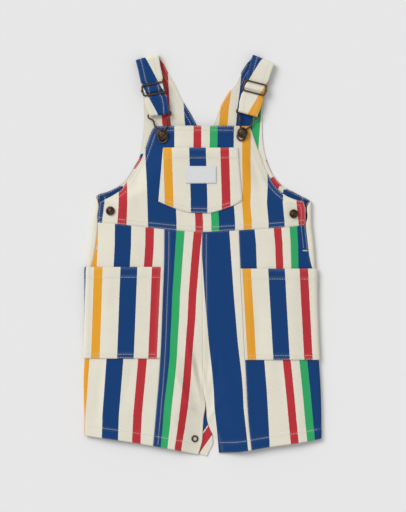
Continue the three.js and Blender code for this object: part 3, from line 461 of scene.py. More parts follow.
def leg_row_y(side, row, x):
    top, bottom = HIP_POCKETS[side]
    levels = [along(WAIST, "x", "y", x) - SEWN_GAP / 2, top + 0 * x, bottom + 0 * x, along(HEMS[side], "x", "y", x)]
    band = np.minimum(np.floor(row), 2)
    upper = np.where(band == 0, levels[0], np.where(band == 1, levels[1], levels[2]))
    lower = np.where(band == 0, levels[1], np.where(band == 1, levels[2], levels[3]))
    return mix(upper, lower, row - band)


def leg_rows(step):
    """Leg rows from the hem (3) up to the waist (0), evenly spaced along the leg."""
    return np.interp(spaced(282, step)[::-1], [0, 58 / 282, 177 / 282, 1], [0, 1, 2, 3])[:, None]


def side_panel_place(side, row, share, start_at):
    x = fold_at(side, 0) + 0 * share * row
    for _ in range(6):
        y = leg_row_y(side, row, x)
        seam = along(LEG_SEAMS, "y", f"{SIDE_WORDS[side]}_seam", y) + side * SEWN_GAP / 2
        distance = mix(start_at(y) + 0.12, distance_to(side, seam, y), share)
        x = side_point(side, distance, y)[..., 0]
    return distance, y


def turned(grid, side):
    return grid if side == LEFT else grid[:, ::-1]


def back_table(side):
    """The back's rows from the hem up to the strap seam."""
    rows = np.array([3, 2.94, 2.86, 2.76, 2.66, 2.56, 2.46, 2.36, 2.2, 2, 1.84, 1.68, 1.54, 1.4, 1.27,
                     1.15, 1.06, 1, 0.82, 0.6, 0.36, 0.15, 0])
    side_y = leg_row_y(side, rows, np.full(len(rows), side * 152.0))
    inner_y = leg_row_y(side, rows, np.full(len(rows), 6.2 if side == LEFT else 22.0))
    body = {"side": fold_at(side, side_y), "side_y": side_y, "wrap": wrap_at(side, side_y) - 0.12,
            "inner": along(BACK_INSIDE, "y", SIDE_WORDS[side], inner_y), "inner_y": inner_y}
    table = {key: np.concatenate([body[key], BACKS[side][key]]) for key in body}
    table["row"] = np.arange(len(table["side"]), dtype=float)
    return table


def back_dent(x, y):
    """Shallow creases of the back, pressed up off the floor."""
    wave = np.sin(x / 29 + 1.4 * np.sin(y / 60)) * np.sin(y / 37 + 0.9 * np.sin(x / 43))
    crease = fold_depth(BACK_CREASES, x, y)
    return np.clip(0.22 + 0.3 * wave + crease, 0, 1.6)


BACK_CREASES = named("x y degrees reach spread depth", [
    (-40, -120, 70, 46, 6, 0.9), (36, -140, 112, 42, 6, 0.9), (-20, -175, 58, 30, 5, 0.8),
    (28, -180, 120, 26, 5, 0.8), (-92, -40, 84, 44, 7, 0.8), (96, -60, 95, 40, 7, 0.8),
    (-70, 60, 10, 36, 6, 0.7), (66, 46, 172, 34, 6, 0.7), (-44, 110, 60, 30, 6, 0.6),
    (46, 116, 118, 28, 6, 0.6), (-108, -180, 80, 34, 6, 0.7), (104, -190, 98, 34, 6, 0.7)])


def back_grid(side, rows, flat_columns):
    """A half of the back, and how far each place is round the side fold, minus on the floor's side."""
    table = back_table(side)
    height = (table["side_y"] + table["inner_y"]) / 2
    level = np.interp(height[0] + rows * (height[-1] - height[0]), height, table["row"])[:, None]
    edge = {key: along(table, "row", key, level) for key in ("side", "side_y", "wrap", "inner", "inner_y")}
    fold = edge["side"] + side * FOLD_RADIUS * (1 - np.cos(np.minimum(edge["wrap"], 0) / FOLD_RADIUS))
    flat_start = fold - side * FOLD_RADIUS
    margin = 0.09 * np.abs(edge["inner"] - flat_start) * soft((-edge["wrap"] - 2.6) / 2.4)

    hem = {key: table[key][0] for key in ("side_y", "inner_y")}

    def row_y(x):
        share = np.clip((x - flat_start) / (edge["inner"] - flat_start), 0, 1)
        short = along(HEMS[side], "x", "y", x) + 0.8 - mix(hem["side_y"], hem["inner_y"], share)
        lift = np.maximum(short, 0) * np.clip(1 - level / 4, 0, 1)
        return mix(edge["side_y"], edge["inner_y"], share) + lift

    brk = np.minimum(-2.0, edge["wrap"] - 0.5)
    band = mix(edge["wrap"], brk, np.linspace(0, 1, 10)[None, :])
    under = mix(brk - 0.04, -QUARTER - margin - 0.6, np.linspace(0, 1, 8)[None, :-1])
    distance = np.concatenate([band, under], axis=1)
    curl = side_point(side, distance, edge["side_y"] + 0 * distance, fold)
    curl[..., 1] = row_y(curl[..., 0])
    x = mix(flat_start - side * (margin + 0.6), edge["inner"], flat_columns[None, :])
    grid = np.concatenate([curl, points(x, row_y(x), 0.0)], axis=1)
    inward = np.minimum(np.abs(grid[..., 0] - fold), np.abs(grid[..., 0] - edge["inner"]))
    room = soft((inward - 6) / 22) * soft((150 - grid[..., 1]) / 30) * soft((grid[..., 1] + 245) / 20)
    grid[..., 2] += np.where(grid[..., 2] < 0.01, back_dent(grid[..., 0], grid[..., 1]) * room, 0)
    wrapped = np.concatenate([distance, np.full(x.shape, -99.0)], axis=1)
    return turned(grid, -side), turned(wrapped, -side)


def bib_pocket_point(share, drop, lift):
    x, y = 0 * share * drop, 100 + 0 * share * drop
    for _ in range(5):
        y = mix(BIB_POCKET_TOP, along(BIB_POCKET_BOTTOM, "x", "y", x), drop)
        x = mix(along(BIB_POCKET_SIDES, "y", "left", y), along(BIB_POCKET_SIDES, "y", "right", y), share)
    return lifted(front_point, x, y, lift + 0 * x)


def pocket_slack(across, drop):
    from_sides = soft(np.minimum(across, 1 - across) / 0.2)
    return from_sides * (MOUTH_SLACK * soft(1 - drop / 0.3) + MIDDLE_SLACK * soft((1 - drop) / 0.2))


def strap_line(side):
    """Middles, heights, tilts and widths of a strap's outer face, from the back's seam round to its end."""
    strap = STRAPS[side]
    seam, fold, slider, bar = (np.array(strap[key]) for key in ("seam", "fold", "slider", "bar"))
    up = (fold - seam) / np.linalg.norm(fold - seam)
    centre = fold - up * STRAP_FOLD_RADIUS
    outward = np.array([math.cos(math.radians(strap["seam_tilt"])), math.sin(math.radians(strap["seam_tilt"]))])
    rows = [(*(seam + up * GAP - side * outward * 1.5), 0, strap["seam_tilt"], 33)]
    for turn in np.radians([-90, -60, -30, 0, 30, 60, 90]):
        place = centre + up * STRAP_FOLD_RADIUS * math.cos(turn)
        rows.append((*place, STRAP_FOLD_RADIUS * (1 + math.sin(turn)), strap["seam_tilt"], 30))
    top, reach = 2 * STRAP_FOLD_RADIUS, SLIDER_ALONG / 2
    down = (slider - centre) / np.linalg.norm(slider - centre)
    under_bar = SLIDER_HEIGHT - 1.1 - GAP
    over_bar = SLIDER_HEIGHT - MIDDLE_BAR_DROP + 1.1 + GAP + 1.3
    plain, narrow = STRAP_WIDTH["plain"], STRAP_WIDTH["slider"]
    rows.append((*mix(centre, slider, 0.35), top - 0.1, mix(strap["seam_tilt"], strap["slider_tilt"], 0.6), plain))
    rows.append((*(slider - down * (reach + 5)), top - 0.4, strap["slider_tilt"], plain))
    for places, height in (((-reach - 1.5, -reach, -reach + 1.5), under_bar), ((-1.6, 0, 1.6), over_bar),
                           ((reach - 1.5, reach, reach + 1.5), under_bar)):
        for place in places:
            rows.append((*(slider + down * place), height, strap["slider_tilt"], narrow))
    loop = 1.1 + GAP + 1.3
    loop_top, loop_bottom = BAR_HEIGHT + loop, BAR_HEIGHT - loop
    away = (bar - slider) / np.linalg.norm(bar - slider)
    rows.append((*(slider + away * (reach + 5.5)), loop_top, mix(strap["slider_tilt"], strap["bar_tilt"], 0.4), plain))
    rows.append((*mix(slider, bar, 0.65), loop_top + 0.1, mix(strap["slider_tilt"], strap["bar_tilt"], 0.7), plain))
    tilt = math.radians(strap["bar_tilt"])
    bar_down = np.array([math.sin(tilt), -math.cos(tilt)])
    for turn in np.radians([90, 60, 30, 0, -30, -60, -90]):
        place = bar + bar_down * loop * math.cos(turn)
        rows.append((*place, BAR_HEIGHT + loop * math.sin(turn), strap["bar_tilt"], STRAP_WIDTH["bar"]))
    under_middle = SLIDER_HEIGHT - MIDDLE_BAR_DROP - 1.1 - GAP - 1.3
    rows.append((*mix(slider, bar, 0.6), loop_bottom + 0.1, mix(strap["slider_tilt"], strap["bar_tilt"], 0.6), narrow))
    rows.append((*mix(slider, bar, 0.25), mix(under_middle, loop_bottom, 0.5),
                 mix(strap["slider_tilt"], strap["bar_tilt"], 0.2), narrow))
    rows.append((*(slider - down), under_middle, strap["slider_tilt"], narrow))
    return named("x y z tilt width", rows)


def strap_grid(side, step, across):
    line = strap_line(side)
    places = np.stack([line["x"], line["y"], line["z"]], axis=1)
    line["run"] = np.concatenate([[0], np.cumsum(np.linalg.norm(np.diff(places, axis=0), axis=1))])
    run = spaced(line["run"][-1], step, (0.5, 1.2)) * line["run"][-1]
    x, y, z, tilt, width = (along(line, "run", key, run)[:, None] for key in ("x", "y", "z", "tilt", "width"))
    angle = np.radians(tilt)
    offset = (0.5 - across[None, :]) * width
    crown = 0.25 * (1 - (2 * across[None, :] - 1) ** 2) * soft(z / 3)
    z = z + 0.55 * soft(1 - z / 2)
    grid = points(x + offset * np.cos(angle), y + offset * np.sin(angle), z + 0 * offset)
    normal = normals_of(grid)
    return grid + normal * crown[..., None], run, offset


# Materials

REPEAT = 236
STRIPES = [
    (0, "blue"), (37, "cream"), (62.4, "red"), (72.8, "cream"), (83.2, "green"), (93.6, "blue"),
    (114.4, "cream"), (126.1, "yellow"), (137.2, "cream"), (159.3, "blue"), (180.1, "cream"),
    (198.9, "red"), (210, "cream")]


def linear(colour):
    return tuple(c / 12.92 if c <= 0.04045 else ((c + 0.055) / 1.055) ** 2.4 for c in colour[:3]) + (1.0,)


def node(tree, kind, inputs=None, **settings):
    made = tree.nodes.new(kind)
    for key, value in settings.items():
        setattr(made, key, value)
    for socket, value in (inputs or {}).items():
        if isinstance(value, bpy.types.NodeSocket):
            tree.links.new(value, made.inputs[socket])
        else:
            made.inputs[socket].default_value = value
    return made


def maths(tree, operation, a, b=0.0, c=0.0, clamp=False):
    return node(tree, "ShaderNodeMath", {0: a, 1: b, 2: c}, operation=operation, use_clamp=clamp).outputs[0]


def blended(tree, factor, a, b, kind="MIX"):
    made = node(tree, "ShaderNodeMix", {0: factor, 6: a, 7: b}, data_type="RGBA", blend_type=kind)
    return made.outputs[2]


def noise(tree, vector, scale, detail=2.0, roughness=0.5):
    made = node(tree, "ShaderNodeTexNoise", {"Vector": vector, "Scale": scale, "Detail": detail,
                                             "Roughness": roughness})
    return made.outputs["Fac"]


def material(name):
    made = bpy.data.materials.get(name) or bpy.data.materials.new(name)
    made.use_nodes = True
    made.node_tree.nodes.clear()
    shader = made.node_tree.nodes.new("ShaderNodeBsdfPrincipled")
    output = made.node_tree.nodes.new("ShaderNodeOutputMaterial")
    made.node_tree.links.new(shader.outputs[0], output.inputs[0])
    return made, made.node_tree, shader


def striped_cotton(settings):
    """Cotton drill printed with stripes: a twill weave, small slubs, and fading along worn edges."""
    made, tree, shader = material("striped cotton")
    uv = node(tree, "ShaderNodeUVMap", uv_map="Cloth").outputs[0]
    place = node(tree, "ShaderNodeSeparateXYZ", {0: uv})
    u, v = place.outputs[0], place.outputs[1]
    wobble = maths(tree, "MULTIPLY", maths(tree, "SUBTRACT", noise(tree, uv, 420, 3), 0.5), 0.0009)
    across = maths(tree, "ADD", u, wobble)
    turn = maths(tree, "FRACT", maths(tree, "DIVIDE", across, REPEAT * MM))
    ramp = node(tree, "ShaderNodeValToRGB", {0: turn})
    ramp.color_ramp.interpolation = "CONSTANT"
    stops = ramp.color_ramp.elements
    while len(stops) > 1:
        stops.remove(stops[-1])
    for k, (start, colour) in enumerate(STRIPES):
        stop = stops[0] if k == 0 else stops.new(start / REPEAT)
        stop.position = start / REPEAT
        stop.color = linear(getattr(settings, colour))
    stretched = node(tree, "ShaderNodeMapping", {"Vector": uv, "Scale": (1900, 260, 1)}).outputs[0]
    yarn = noise(tree, stretched, 1.0, 2)
    crosswise = node(tree, "ShaderNodeMapping", {"Vector": uv, "Scale": (320, 2100, 1)}).outputs[0]
    weft = noise(tree, crosswise, 1.0, 2)
    patches = noise(tree, uv, 34, 3)
    shade = maths(tree, "ADD", maths(tree, "MULTIPLY", yarn, 0.16), maths(tree, "MULTIPLY", weft, 0.1))
    shade = maths(tree, "ADD", shade, maths(tree, "MULTIPLY", patches, 0.09))
    shade = maths(tree, "ADD", shade, 0.825)
    value = node(tree, "ShaderNodeCombineColor", {0: shade, 1: shade, 2: shade}).outputs[0]
    dyed = blended(tree, 1.0, ramp.outputs[0], value, "MULTIPLY")
    wear = node(tree, "ShaderNodeAttribute", attribute_name="wear").outputs["Fac"]
    speckle = maths(tree, "SUBTRACT", noise(tree, uv, 1500, 2), 0.44)
    worn = maths(tree, "MULTIPLY", maths(tree, "MULTIPLY", speckle, 4.0, clamp=True), wear)
    worn = maths(tree, "MULTIPLY", worn, settings.wear)
    faded = blended(tree, worn, dyed, linear((0.80, 0.80, 0.78)))
    tree.links.new(faded, shader.inputs["Base Color"])
    diagonal = maths(tree, "ADD", u, maths(tree, "MULTIPLY", v, 0.62))
    twill = maths(tree, "SINE", maths(tree, "MULTIPLY", diagonal, 2 * math.pi / 0.00085))
    height = maths(tree, "ADD", maths(tree, "MULTIPLY", twill, 0.22), maths(tree, "ADD", yarn, weft))
    bump = node(tree, "ShaderNodeBump", {"Strength": 0.55, "Distance": 0.00035, "Height": height})
    tree.links.new(bump.outputs[0], shader.inputs["Normal"])
    shader.inputs["Roughness"].default_value = 0.9
    shader.inputs["Specular IOR Level"].default_value = 0.12
    shader.inputs["Sheen Weight"].default_value = 0.04
    shader.inputs["Sheen Roughness"].default_value = 0.6
    return made


def plain_weave(name, colour, ribs):
    """Plain thread or tape, ribbed across."""
    made, tree, shader = material(name)
    place = node(tree, "ShaderNodeTexCoord").outputs["Object"]
    lumps = noise(tree, place, 900, 2)
    shade = maths(tree, "ADD", maths(tree, "MULTIPLY", lumps, 0.22), 0.87)
    value = node(tree, "ShaderNodeCombineColor", {0: shade, 1: shade, 2: shade}).outputs[0]
    tree.links.new(blended(tree, 1.0, linear(colour), value, "MULTIPLY"), shader.inputs["Base Color"])
    x, y, _ = node(tree, "ShaderNodeSeparateXYZ", {0: place}).outputs
    ridge = maths(tree, "SINE", maths(tree, "MULTIPLY", maths(tree, "ADD", y, maths(tree, "MULTIPLY", x, 0.1)),
                                      2 * math.pi / ribs))
    height = maths(tree, "ADD", maths(tree, "MULTIPLY", ridge, 0.5), lumps)
    bump = node(tree, "ShaderNodeBump", {"Strength": 0.5, "Distance": 0.0002, "Height": height})
    tree.links.new(bump.outputs[0], shader.inputs["Normal"])
    shader.inputs["Roughness"].default_value = 0.75
    shader.inputs["Sheen Weight"].default_value = 0.1
    return made


def old_bronze(settings):
    """Antique bronze: dark in the hollows, brighter and smoother where it rubs."""
    made, tree, shader = material("antique bronze")
    place = node(tree, "ShaderNodeTexCoord").outputs["Object"]
    rough_patches = noise(tree, place, 700, 4, 0.6)
    fine = noise(tree, place, 3200, 2)
    edges = maths(tree, "SUBTRACT", node(tree, "ShaderNodeNewGeometry").outputs["Pointiness"], 0.5)
    rubbed = maths(tree, "ADD", maths(tree, "MULTIPLY", edges, 6.0),
                   maths(tree, "MULTIPLY", maths(tree, "SUBTRACT", rough_patches, 0.35), 1.5), clamp=True)
    dark = tuple(c * 0.45 for c in settings.bronze)
    bright = tuple(min(c * 1.75, 1) for c in settings.bronze)
    colour = blended(tree, rubbed, linear(dark), linear(bright))
    tree.links.new(colour, shader.inputs["Base Color"])
    tree.links.new(maths(tree, "ADD", maths(tree, "MULTIPLY", rough_patches, 0.3), 0.24), shader.inputs["Roughness"])
    bump = node(tree, "ShaderNodeBump", {"Strength": 0.25, "Distance": 0.0001, "Height": fine})
    tree.links.new(bump.outputs[0], shader.inputs["Normal"])
    shader.inputs["Metallic"].default_value = 0.85
    return made


class OverallsSettings(PropertyGroup):
    cream: FloatVectorProperty(name="Ground", description="Undyed cotton between the stripes",
                               subtype="COLOR_GAMMA", size=3, min=0, max=1, default=(0.886, 0.867, 0.804))
    blue: FloatVectorProperty(name="Blue", description="Wide and narrow blue stripes",
                              subtype="COLOR_GAMMA", size=3, min=0, max=1, default=(0.072, 0.24, 0.455))
    red: FloatVectorProperty(name="Red", description="Red stripes",
                             subtype="COLOR_GAMMA", size=3, min=0, max=1, default=(0.729, 0.196, 0.227))
    green: FloatVectorProperty(name="Green", description="Green stripe",
                               subtype="COLOR_GAMMA", size=3, min=0, max=1, default=(0.196, 0.659, 0.4))
    yellow: FloatVectorProperty(name="Yellow", description="Yellow stripe",
                                subtype="COLOR_GAMMA", size=3, min=0, max=1, default=(0.894, 0.627, 0.176))
    thread: FloatVectorProperty(name="Thread", description="Sewing thread",
                                subtype="COLOR_GAMMA", size=3, min=0, max=1, default=(0.83, 0.82, 0.78))
    label: FloatVectorProperty(name="Label", description="Woven label, left blank",
                               subtype="COLOR_GAMMA", size=3, min=0, max=1, default=(0.86, 0.865, 0.875))
    bronze: FloatVectorProperty(name="Bronze", description="Buttons, hooks, sliders and snap",
                                subtype="COLOR_GAMMA", size=3, min=0, max=1, default=(0.27, 0.212, 0.16))
    wear: FloatProperty(name="Wear", description="How far worn edges have faded", default=0.45, min=0, max=1)
    cloth: FloatProperty(name="Cloth", description="Thickness of the cotton", unit="LENGTH", default=0.001)
    strap_cloth: FloatProperty(name="Strap", description="Thickness of a strap, folded double", unit="LENGTH",
                               default=0.0013)
    stitch: FloatProperty(name="Stitch", description="Length of a stitch", unit="LENGTH", default=0.0026)
    stitch_gap: FloatProperty(name="Stitch gap", description="Gap between stitches", unit="LENGTH", default=0.0006)
    thread_width: FloatProperty(name="Thread width", description="Width of the sewing thread", unit="LENGTH",
                                default=0.00055)
    wire: FloatProperty(name="Wire", description="Radius of the hooks' and sliders' wire", unit="LENGTH",
                        default=0.0011)


def settings_of(context):
    return context.scene.overalls


def cotton():
    made = bpy.data.materials.get("striped cotton")
    return made if made else striped_cotton(bpy.context.scene.overalls)


# Operators, one for each piece or group of like pieces

BIB_STRIPES = [
    (166.6, -74, 1, 1.0), (124.7, -73.8, 1, 1.006), (97, -72.2, 1, 1.015), (88, -71.8, 1, 1.017),
    (68, -71.2, 0.99, 1.028), (42.7, -70.5, 0.93, 1.018)]


class OVERALLS_OT_front_bib(Operator):
    """Sews the bib of the front, with its diagonal armholes"""
    bl_idname = "overalls.front_bib"
    bl_label = "Front bib"

    def execute(self, context):
        wall = settings_of(context).cloth / MM
        grid = bib_grid(spaced(130, 2.0), spaced(270, 2.0))
        u = stripe(grid[..., 1], grid[..., 0], BIB_STRIPES, 0)
        edges = {"left": "facing", "right": "facing", "top": "facing", "bottom": "waist"}
        made = sew("bib", "front_bib", grid, u, grid[..., 1], wall, edges, cotton())
        sheet(made)
        return {"FINISHED"}


SIDE_STRIPES = {
    LEFT: ([(39.8, -113.6, 1, 0.995), (12, -113.9, 1, 1.0), (-14.1, -115.2, 1, 1.01), (-50, -117, 1, 0.99), (-135.4, -124.6, 1, 0.965),
            (-155, -126, 1, 0.97), (-207, -129.8, 1, 0.99), (-238, -130.6, 1, 1.005)], 159.3),
    RIGHT: ([(35.3, 92.4, 1, 1.02), (14.9, 94.4, 1, 1.05), (-16.2, 95.5, 1, 1.07), (-136.5, 104.3, 1.04, 0.985),
             (-176, 108.4, 1.0, 0.985), (-244.3, 114.7, 0.907, 0.985)], 62.4)}
CENTRE_STRIPES = {
    LEFT: ([(31.5, -33.2, 1, 0.93), (4.5, -34.8, 1, 0.97), (-51.5, -38.5, 1, 1.0), (-82.6, -39.6, 1, 1.01),
            (-105, -40.9, 1, 1.03), (-132, -41.8, 1, 1.08), (-160, -44.8, 1, 1.03), (-196.6, -49.3, 1, 1.0), (-225, -51.2, 1, 1.08),
            (-250.5, -53.5, 1, 1.17)], 93.6, -1),
    RIGHT: ([(29.4, 34.5, 1, 1), (-52, 40.2, 1, 1), (-114, 45.4, 1.005, 1), (-155.7, 50.4, 1.0, 1), (-176, 52, 1, 1),
             (-197.6, 52.9, 1, 1), (-228, 56.2, 1, 1), (-254, 59, 0.985, 1)], 37, 1)}


def cloth_x(side, distance, y):
    """Where a place on a side would lie if the fold were opened out flat."""
    return fold_at(side, y) - side * (distance + FOLD_RADIUS - QUARTER)


class OVERALLS_OT_leg_panels(Operator):
    """Sews the four leg panels of the front"""
    bl_idname = "overalls.leg_panels"
    bl_label = "Leg panels"

    def execute(self, context):
        wall = settings_of(context).cloth / MM
        rows = leg_rows(2.1)
        for side, word in SIDE_WORDS.items():
            share = spaced(104, 2.1)[None, :]
            distance, y = side_panel_place(side, rows, share, lambda at: wrap_at(side, at))
            grid = turned(side_point(side, distance, y), side)
            u = stripe(y, cloth_x(side, distance, y), *SIDE_STRIPES[side])
            seam, outside = ("right", "left") if side == LEFT else ("left", "right")
            edges = {seam: "plain", outside: "plain", "bottom": "hem", "top": "plain"}
            made = sew(f"leg_{word}_side", f"front_{word}_side", grid, turned(u, side), turned(y, side),
                       wall, edges, cotton())
            sheet(made)
            x = side * 30.0 + 0 * rows * np.ones((1, 1))
            share = spaced(54, 2.1)[None, :]
            x = x + 0 * share
            for _ in range(6):
                y = leg_row_y(side, rows, x)
                seam_x = along(LEG_SEAMS, "y", f"{word}_seam", y) - side * SEWN_GAP / 2
                inside_x = along(LEG_SEAMS, "y", f"{word}_inside", y) + side * SEWN_GAP / 2
                x = mix(seam_x, inside_x, share)
            grid = turned(front_point(x, y), side)
            u = stripe(grid[..., 1], grid[..., 0], *CENTRE_STRIPES[side])
            u = np.maximum(u, 38.5) if side == LEFT else u
            edges = {"left": "seam" if side == LEFT else "row", "right": "plain", "bottom": "hem", "top": "plain"}
            made = sew(f"leg_{word}_centre", f"front_{word}_centre", grid, u, grid[..., 1], wall, edges, cotton())
            sheet(made)
        return {"FINISHED"}


BACK_STRIPES = {
    LEFT: ([(243.3, -44.6, 1, 1), (196.5, -42.4, 1, 1), (175.7, -41.2, 1, 1), (100, -33, 1, 1), (0, -28, 1, 1),
            (-120, -34, 1, 1), (-262, -50, 1, 1)], 198.9, -1),
    RIGHT: ([(232, 39.7, 1, 1), (210.1, 37.5, 1, 1), (190, 34.8, 1, 1), (169.7, 33.1, 1, 1), (100, 28, 1, 1), (0, 25, 1, 1),
             (-120, 31, 1, 1), (-262, 46, 1, 1)], 126.1, -1)}


class OVERALLS_OT_back(Operator):
    """Sews the two halves of the back, with the centre-back seam and the V at the neck"""
    bl_idname = "overalls.back"
    bl_label = "Back"

    def execute(self, context):
        wall = settings_of(context).cloth / MM
        for side, word in SIDE_WORDS.items():
            rows = np.concatenate([np.arange(0, 0.15, 0.002), np.linspace(0.152, 1, 180)])
            columns = np.concatenate([np.linspace(0, 0.8, 46), np.linspace(0.806, 1, 34 if side == LEFT else 12)])
            grid, wrapped = back_grid(side, rows, columns)
            x, y = grid[..., 0], grid[..., 1]
            u = stripe(y, np.where(wrapped < -QUARTER, x, cloth_x(side, -wrapped, y)), *BACK_STRIPES[side])
            reach = np.interp(y, [36, 50], [-2.01, -9]) if side == LEFT else -9
            u = np.where((wrapped > reach) & (y < 78), 148 + wrapped / 2, u)
            inner_u = np.where((y > 130) & (side == LEFT), np.minimum(u, 235.5), u)
            if side == LEFT:
                across_flap = (20 * (x / 1.3 + 202.25) + 13.8 * (255.15 - y / 1.3)) / 24.3
                flap = np.interp(across_flap, [405, 412.8, 413.2, 421.7, 435], [246, 236.5, 210, 199, 182])
                inner_u = np.where((x > -12) & (y < -180), flap, inner_u)
            edges = {"left": "facing", "right": "facing", "bottom": "hem", "top": "plain"}
            made = sew(f"back_{word}_cloth", f"back_{word}", grid, u, y, wall, edges, cotton(),
                       inner_u=inner_u, limit=0.0)
            sheet(made)
        return {"FINISHED"}


class OVERALLS_OT_pockets(Operator):
    """Sews the bib pocket and the two hip pockets"""
    bl_idname = "overalls.pockets"
    bl_label = "Pockets"

    def execute(self, context):
        wall = settings_of(context).cloth / MM
        drop, share = spaced(80, 2.0)[::-1][:, None], spaced(104, 2.0)[None, :]
        grid = bib_pocket_point(share, drop, LAID_GAP + 1.0 + pocket_slack(share, drop))
        u = stripe(grid[..., 1], grid[..., 0], [(138.4, -51, 1, 0.981), (71.8, -48.9, 1, 0.982)], 126.1)
        edges = {"left": "pocket", "right": "pocket", "bottom": "pocket", "top": "mouth"}
        made = sew("bib_patch_pocket", "bib_pocket", grid, u, grid[..., 1], wall, edges, cotton())
        sheet(made)
        stripes = {LEFT: [(-15.4, -140.5, 1.25, 0.969), (-133.7, -144.6, 0.97, 0.981)],
                   RIGHT: [(-18, 51.7, 1, 0.985), (-136.3, 58.7, 1, 0.992)]}
        for side, word in SIDE_WORDS.items():
            row, share = 1 + spaced(119, 2.0)[::-1][:, None], spaced(100, 2.0)[None, :]
            distance, y = side_panel_place(side, row, share, lambda at: 0 * at)
            mouth = MOUTH_SLACK * soft((1.5 - row) / 0.5) * soft((1 - share) / 0.15)
            grid = lifted(lambda a, b: side_point(side, a, b), distance, y, LAID_GAP + 1.0 + mouth)
            u = stripe(y, cloth_x(side, distance, y), stripes[side], 126.1)
            edges = {"left": "pocket", "right": "pocket", "bottom": "pocket", "top": "mouth"}
            made = sew(f"{word}_patch_pocket", f"hip_pocket_{word}", turned(grid, side), turned(u, side),
                       turned(y, side), wall, edges, cotton())
            sheet(made)
        return {"FINISHED"}


class OVERALLS_OT_label(Operator):
    """Sews the woven label on the bib pocket and leaves it blank"""
    bl_idname = "overalls.label"
    bl_label = "Label"

    def execute(self, context):
        x = mix(LABEL["left"], LABEL["right"], spaced(39.7, 1.4)[None, :])
        y = mix(LABEL["bottom"], LABEL["top"], spaced(22.3, 1.4)[:, None])
        x, y = x + 0 * y, y + 0 * x
        left, right = (along(BIB_POCKET_SIDES, "y", key, LABEL["top"]) for key in ("left", "right"))
        bottom = along(BIB_POCKET_BOTTOM, "x", "y", x)
        slack = pocket_slack((x - left) / (right - left), (BIB_POCKET_TOP - y) / (BIB_POCKET_TOP - bottom))
        grid = lifted(front_point, x, y, 2 * (LAID_GAP + 1.0) + slack)
        white = plain_weave("label weave", settings_of(context).label, 0.0006)
        made = sew("woven_label", "bib_label", grid, x, y, settings_of(context).cloth / MM,
                   {"left": "plain", "right": "plain", "bottom": "plain", "top": "plain"}, white)
        sheet(made)
        return {"FINISHED"}


STRAP_STRIPES = {LEFT: (170.7, 0.961, -0.277), RIGHT: (147.0, -0.965, -0.269)}


class OVERALLS_OT_straps(Operator):
    """Sews the two shoulder straps, through their sliders and round the hooks' bars"""
    bl_idname = "overalls.straps"
    bl_label = "Straps"

    def execute(self, context):
        wall = settings_of(context).strap_cloth / MM
        for side, word in SIDE_WORDS.items():
            grid, run, offset = strap_grid(side, 0.9, spaced(29, 1.2, (0.4, 1.0, 1.8)))
            line = strap_line(side)
            places = np.stack([line["x"], line["y"], line["z"]], axis=1)
            at_slider = np.linalg.norm(np.diff(places, axis=0), axis=1)[:14].sum()
            start, across, down = STRAP_STRIPES[side]
            u = start + across * offset + down * (run[:, None] - at_slider)
            v = -down * offset + abs(across) * run[:, None]
            behind = np.where(run[:, None] < 26, 205 if side == LEFT else 100, u)
            made = sew(f"{word}_strap", f"strap_{word}", grid, u, v, wall,
                       {"left": "strap", "right": "strap"}, cotton(), limit=0.3, inner_u=behind + 0 * offset)
            sheet(made)
        return {"FINISHED"}


# width, length and area of each cut, in millimetres
SHEETS = {
    "bib": (159, 272.5, 26480), "leg_left_side": (101.7, 282.2, 27000), "leg_left_centre": (64, 291.4, 15820),
    "leg_right_side": (98.7, 286.8, 26750), "leg_right_centre": (57.2, 291, 15030),
    "back_left_cloth": (169.3, 529.7, 64310), "back_right_cloth": (153, 523.4, 59440),
    "bib_patch_pocket": (84.8, 115, 8280), "left_patch_pocket": (106.7, 119, 12420),
    "right_patch_pocket": (101.4, 118.5, 11860), "woven_label": (39.8, 22.3, 886),
    "left_strap": (30.2, 143.5, 3980), "right_strap": (30.2, 140.5, 3900),
    "armhole_facing_left": (22, 92, 1035), "armhole_facing_right": (22, 92, 1035)}


def sheet(made):
    """Prints a piece of cloth's name with the size that it was cut to."""
    name = made.name
    width, length = PIECES[name]["size"]
    area = PIECES[name]["area"]
    width, length, area = SHEETS.get(name, (width, length, area))
    print("SHEET", name, round(width, 1), round(length, 1), round(area))


# Stitching

def hits(name, xy, side=1):
    """Where a line down on to a piece (or up, from below) meets it: places and normals."""
    tree = PIECES[name].get("tree")
    if tree is None:
        tree = BVHTree.FromPolygons([v.co for v in PIECES[name]["object"].data.vertices],
                                    [p.vertices for p in PIECES[name]["object"].data.polygons])
        PIECES[name]["tree"] = tree
    places, normals = [], []
    for x, y in xy:
        place, normal, _, _ = tree.ray_cast(Vector((x * MM, y * MM, side * 0.1)), Vector((0, 0, -side)))
        if place is None:
            places.append((np.nan,) * 3)
            normals.append((0, 0, side))
        else:
            places.append(tuple(c / MM for c in place))
            normals.append(tuple(normal if normal.z * side > 0 else -normal))
    return np.array(places), np.array(normals)


def evenly(line, pitch):
    """A line's points again, evenly spaced, and their directions."""
    run = np.concatenate([[0], np.cumsum(np.linalg.norm(np.diff(line, axis=0), axis=1))])
    count = max(int(run[-1] / pitch), 1)
    at = (np.arange(count) + 0.5) * run[-1] / count
    middle = np.stack([np.interp(at, run, line[:, k]) for k in range(line.shape[1])], axis=1)
    ahead = np.stack([np.interp(at + 0.6, run, line[:, k]) for k in range(line.shape[1])], axis=1)
    behind = np.stack([np.interp(at - 0.6, run, line[:, k]) for k in range(line.shape[1])], axis=1)
    direction = ahead - behind
    return middle, direction / np.maximum(np.linalg.norm(direction, axis=1, keepdims=True), 1e-9)


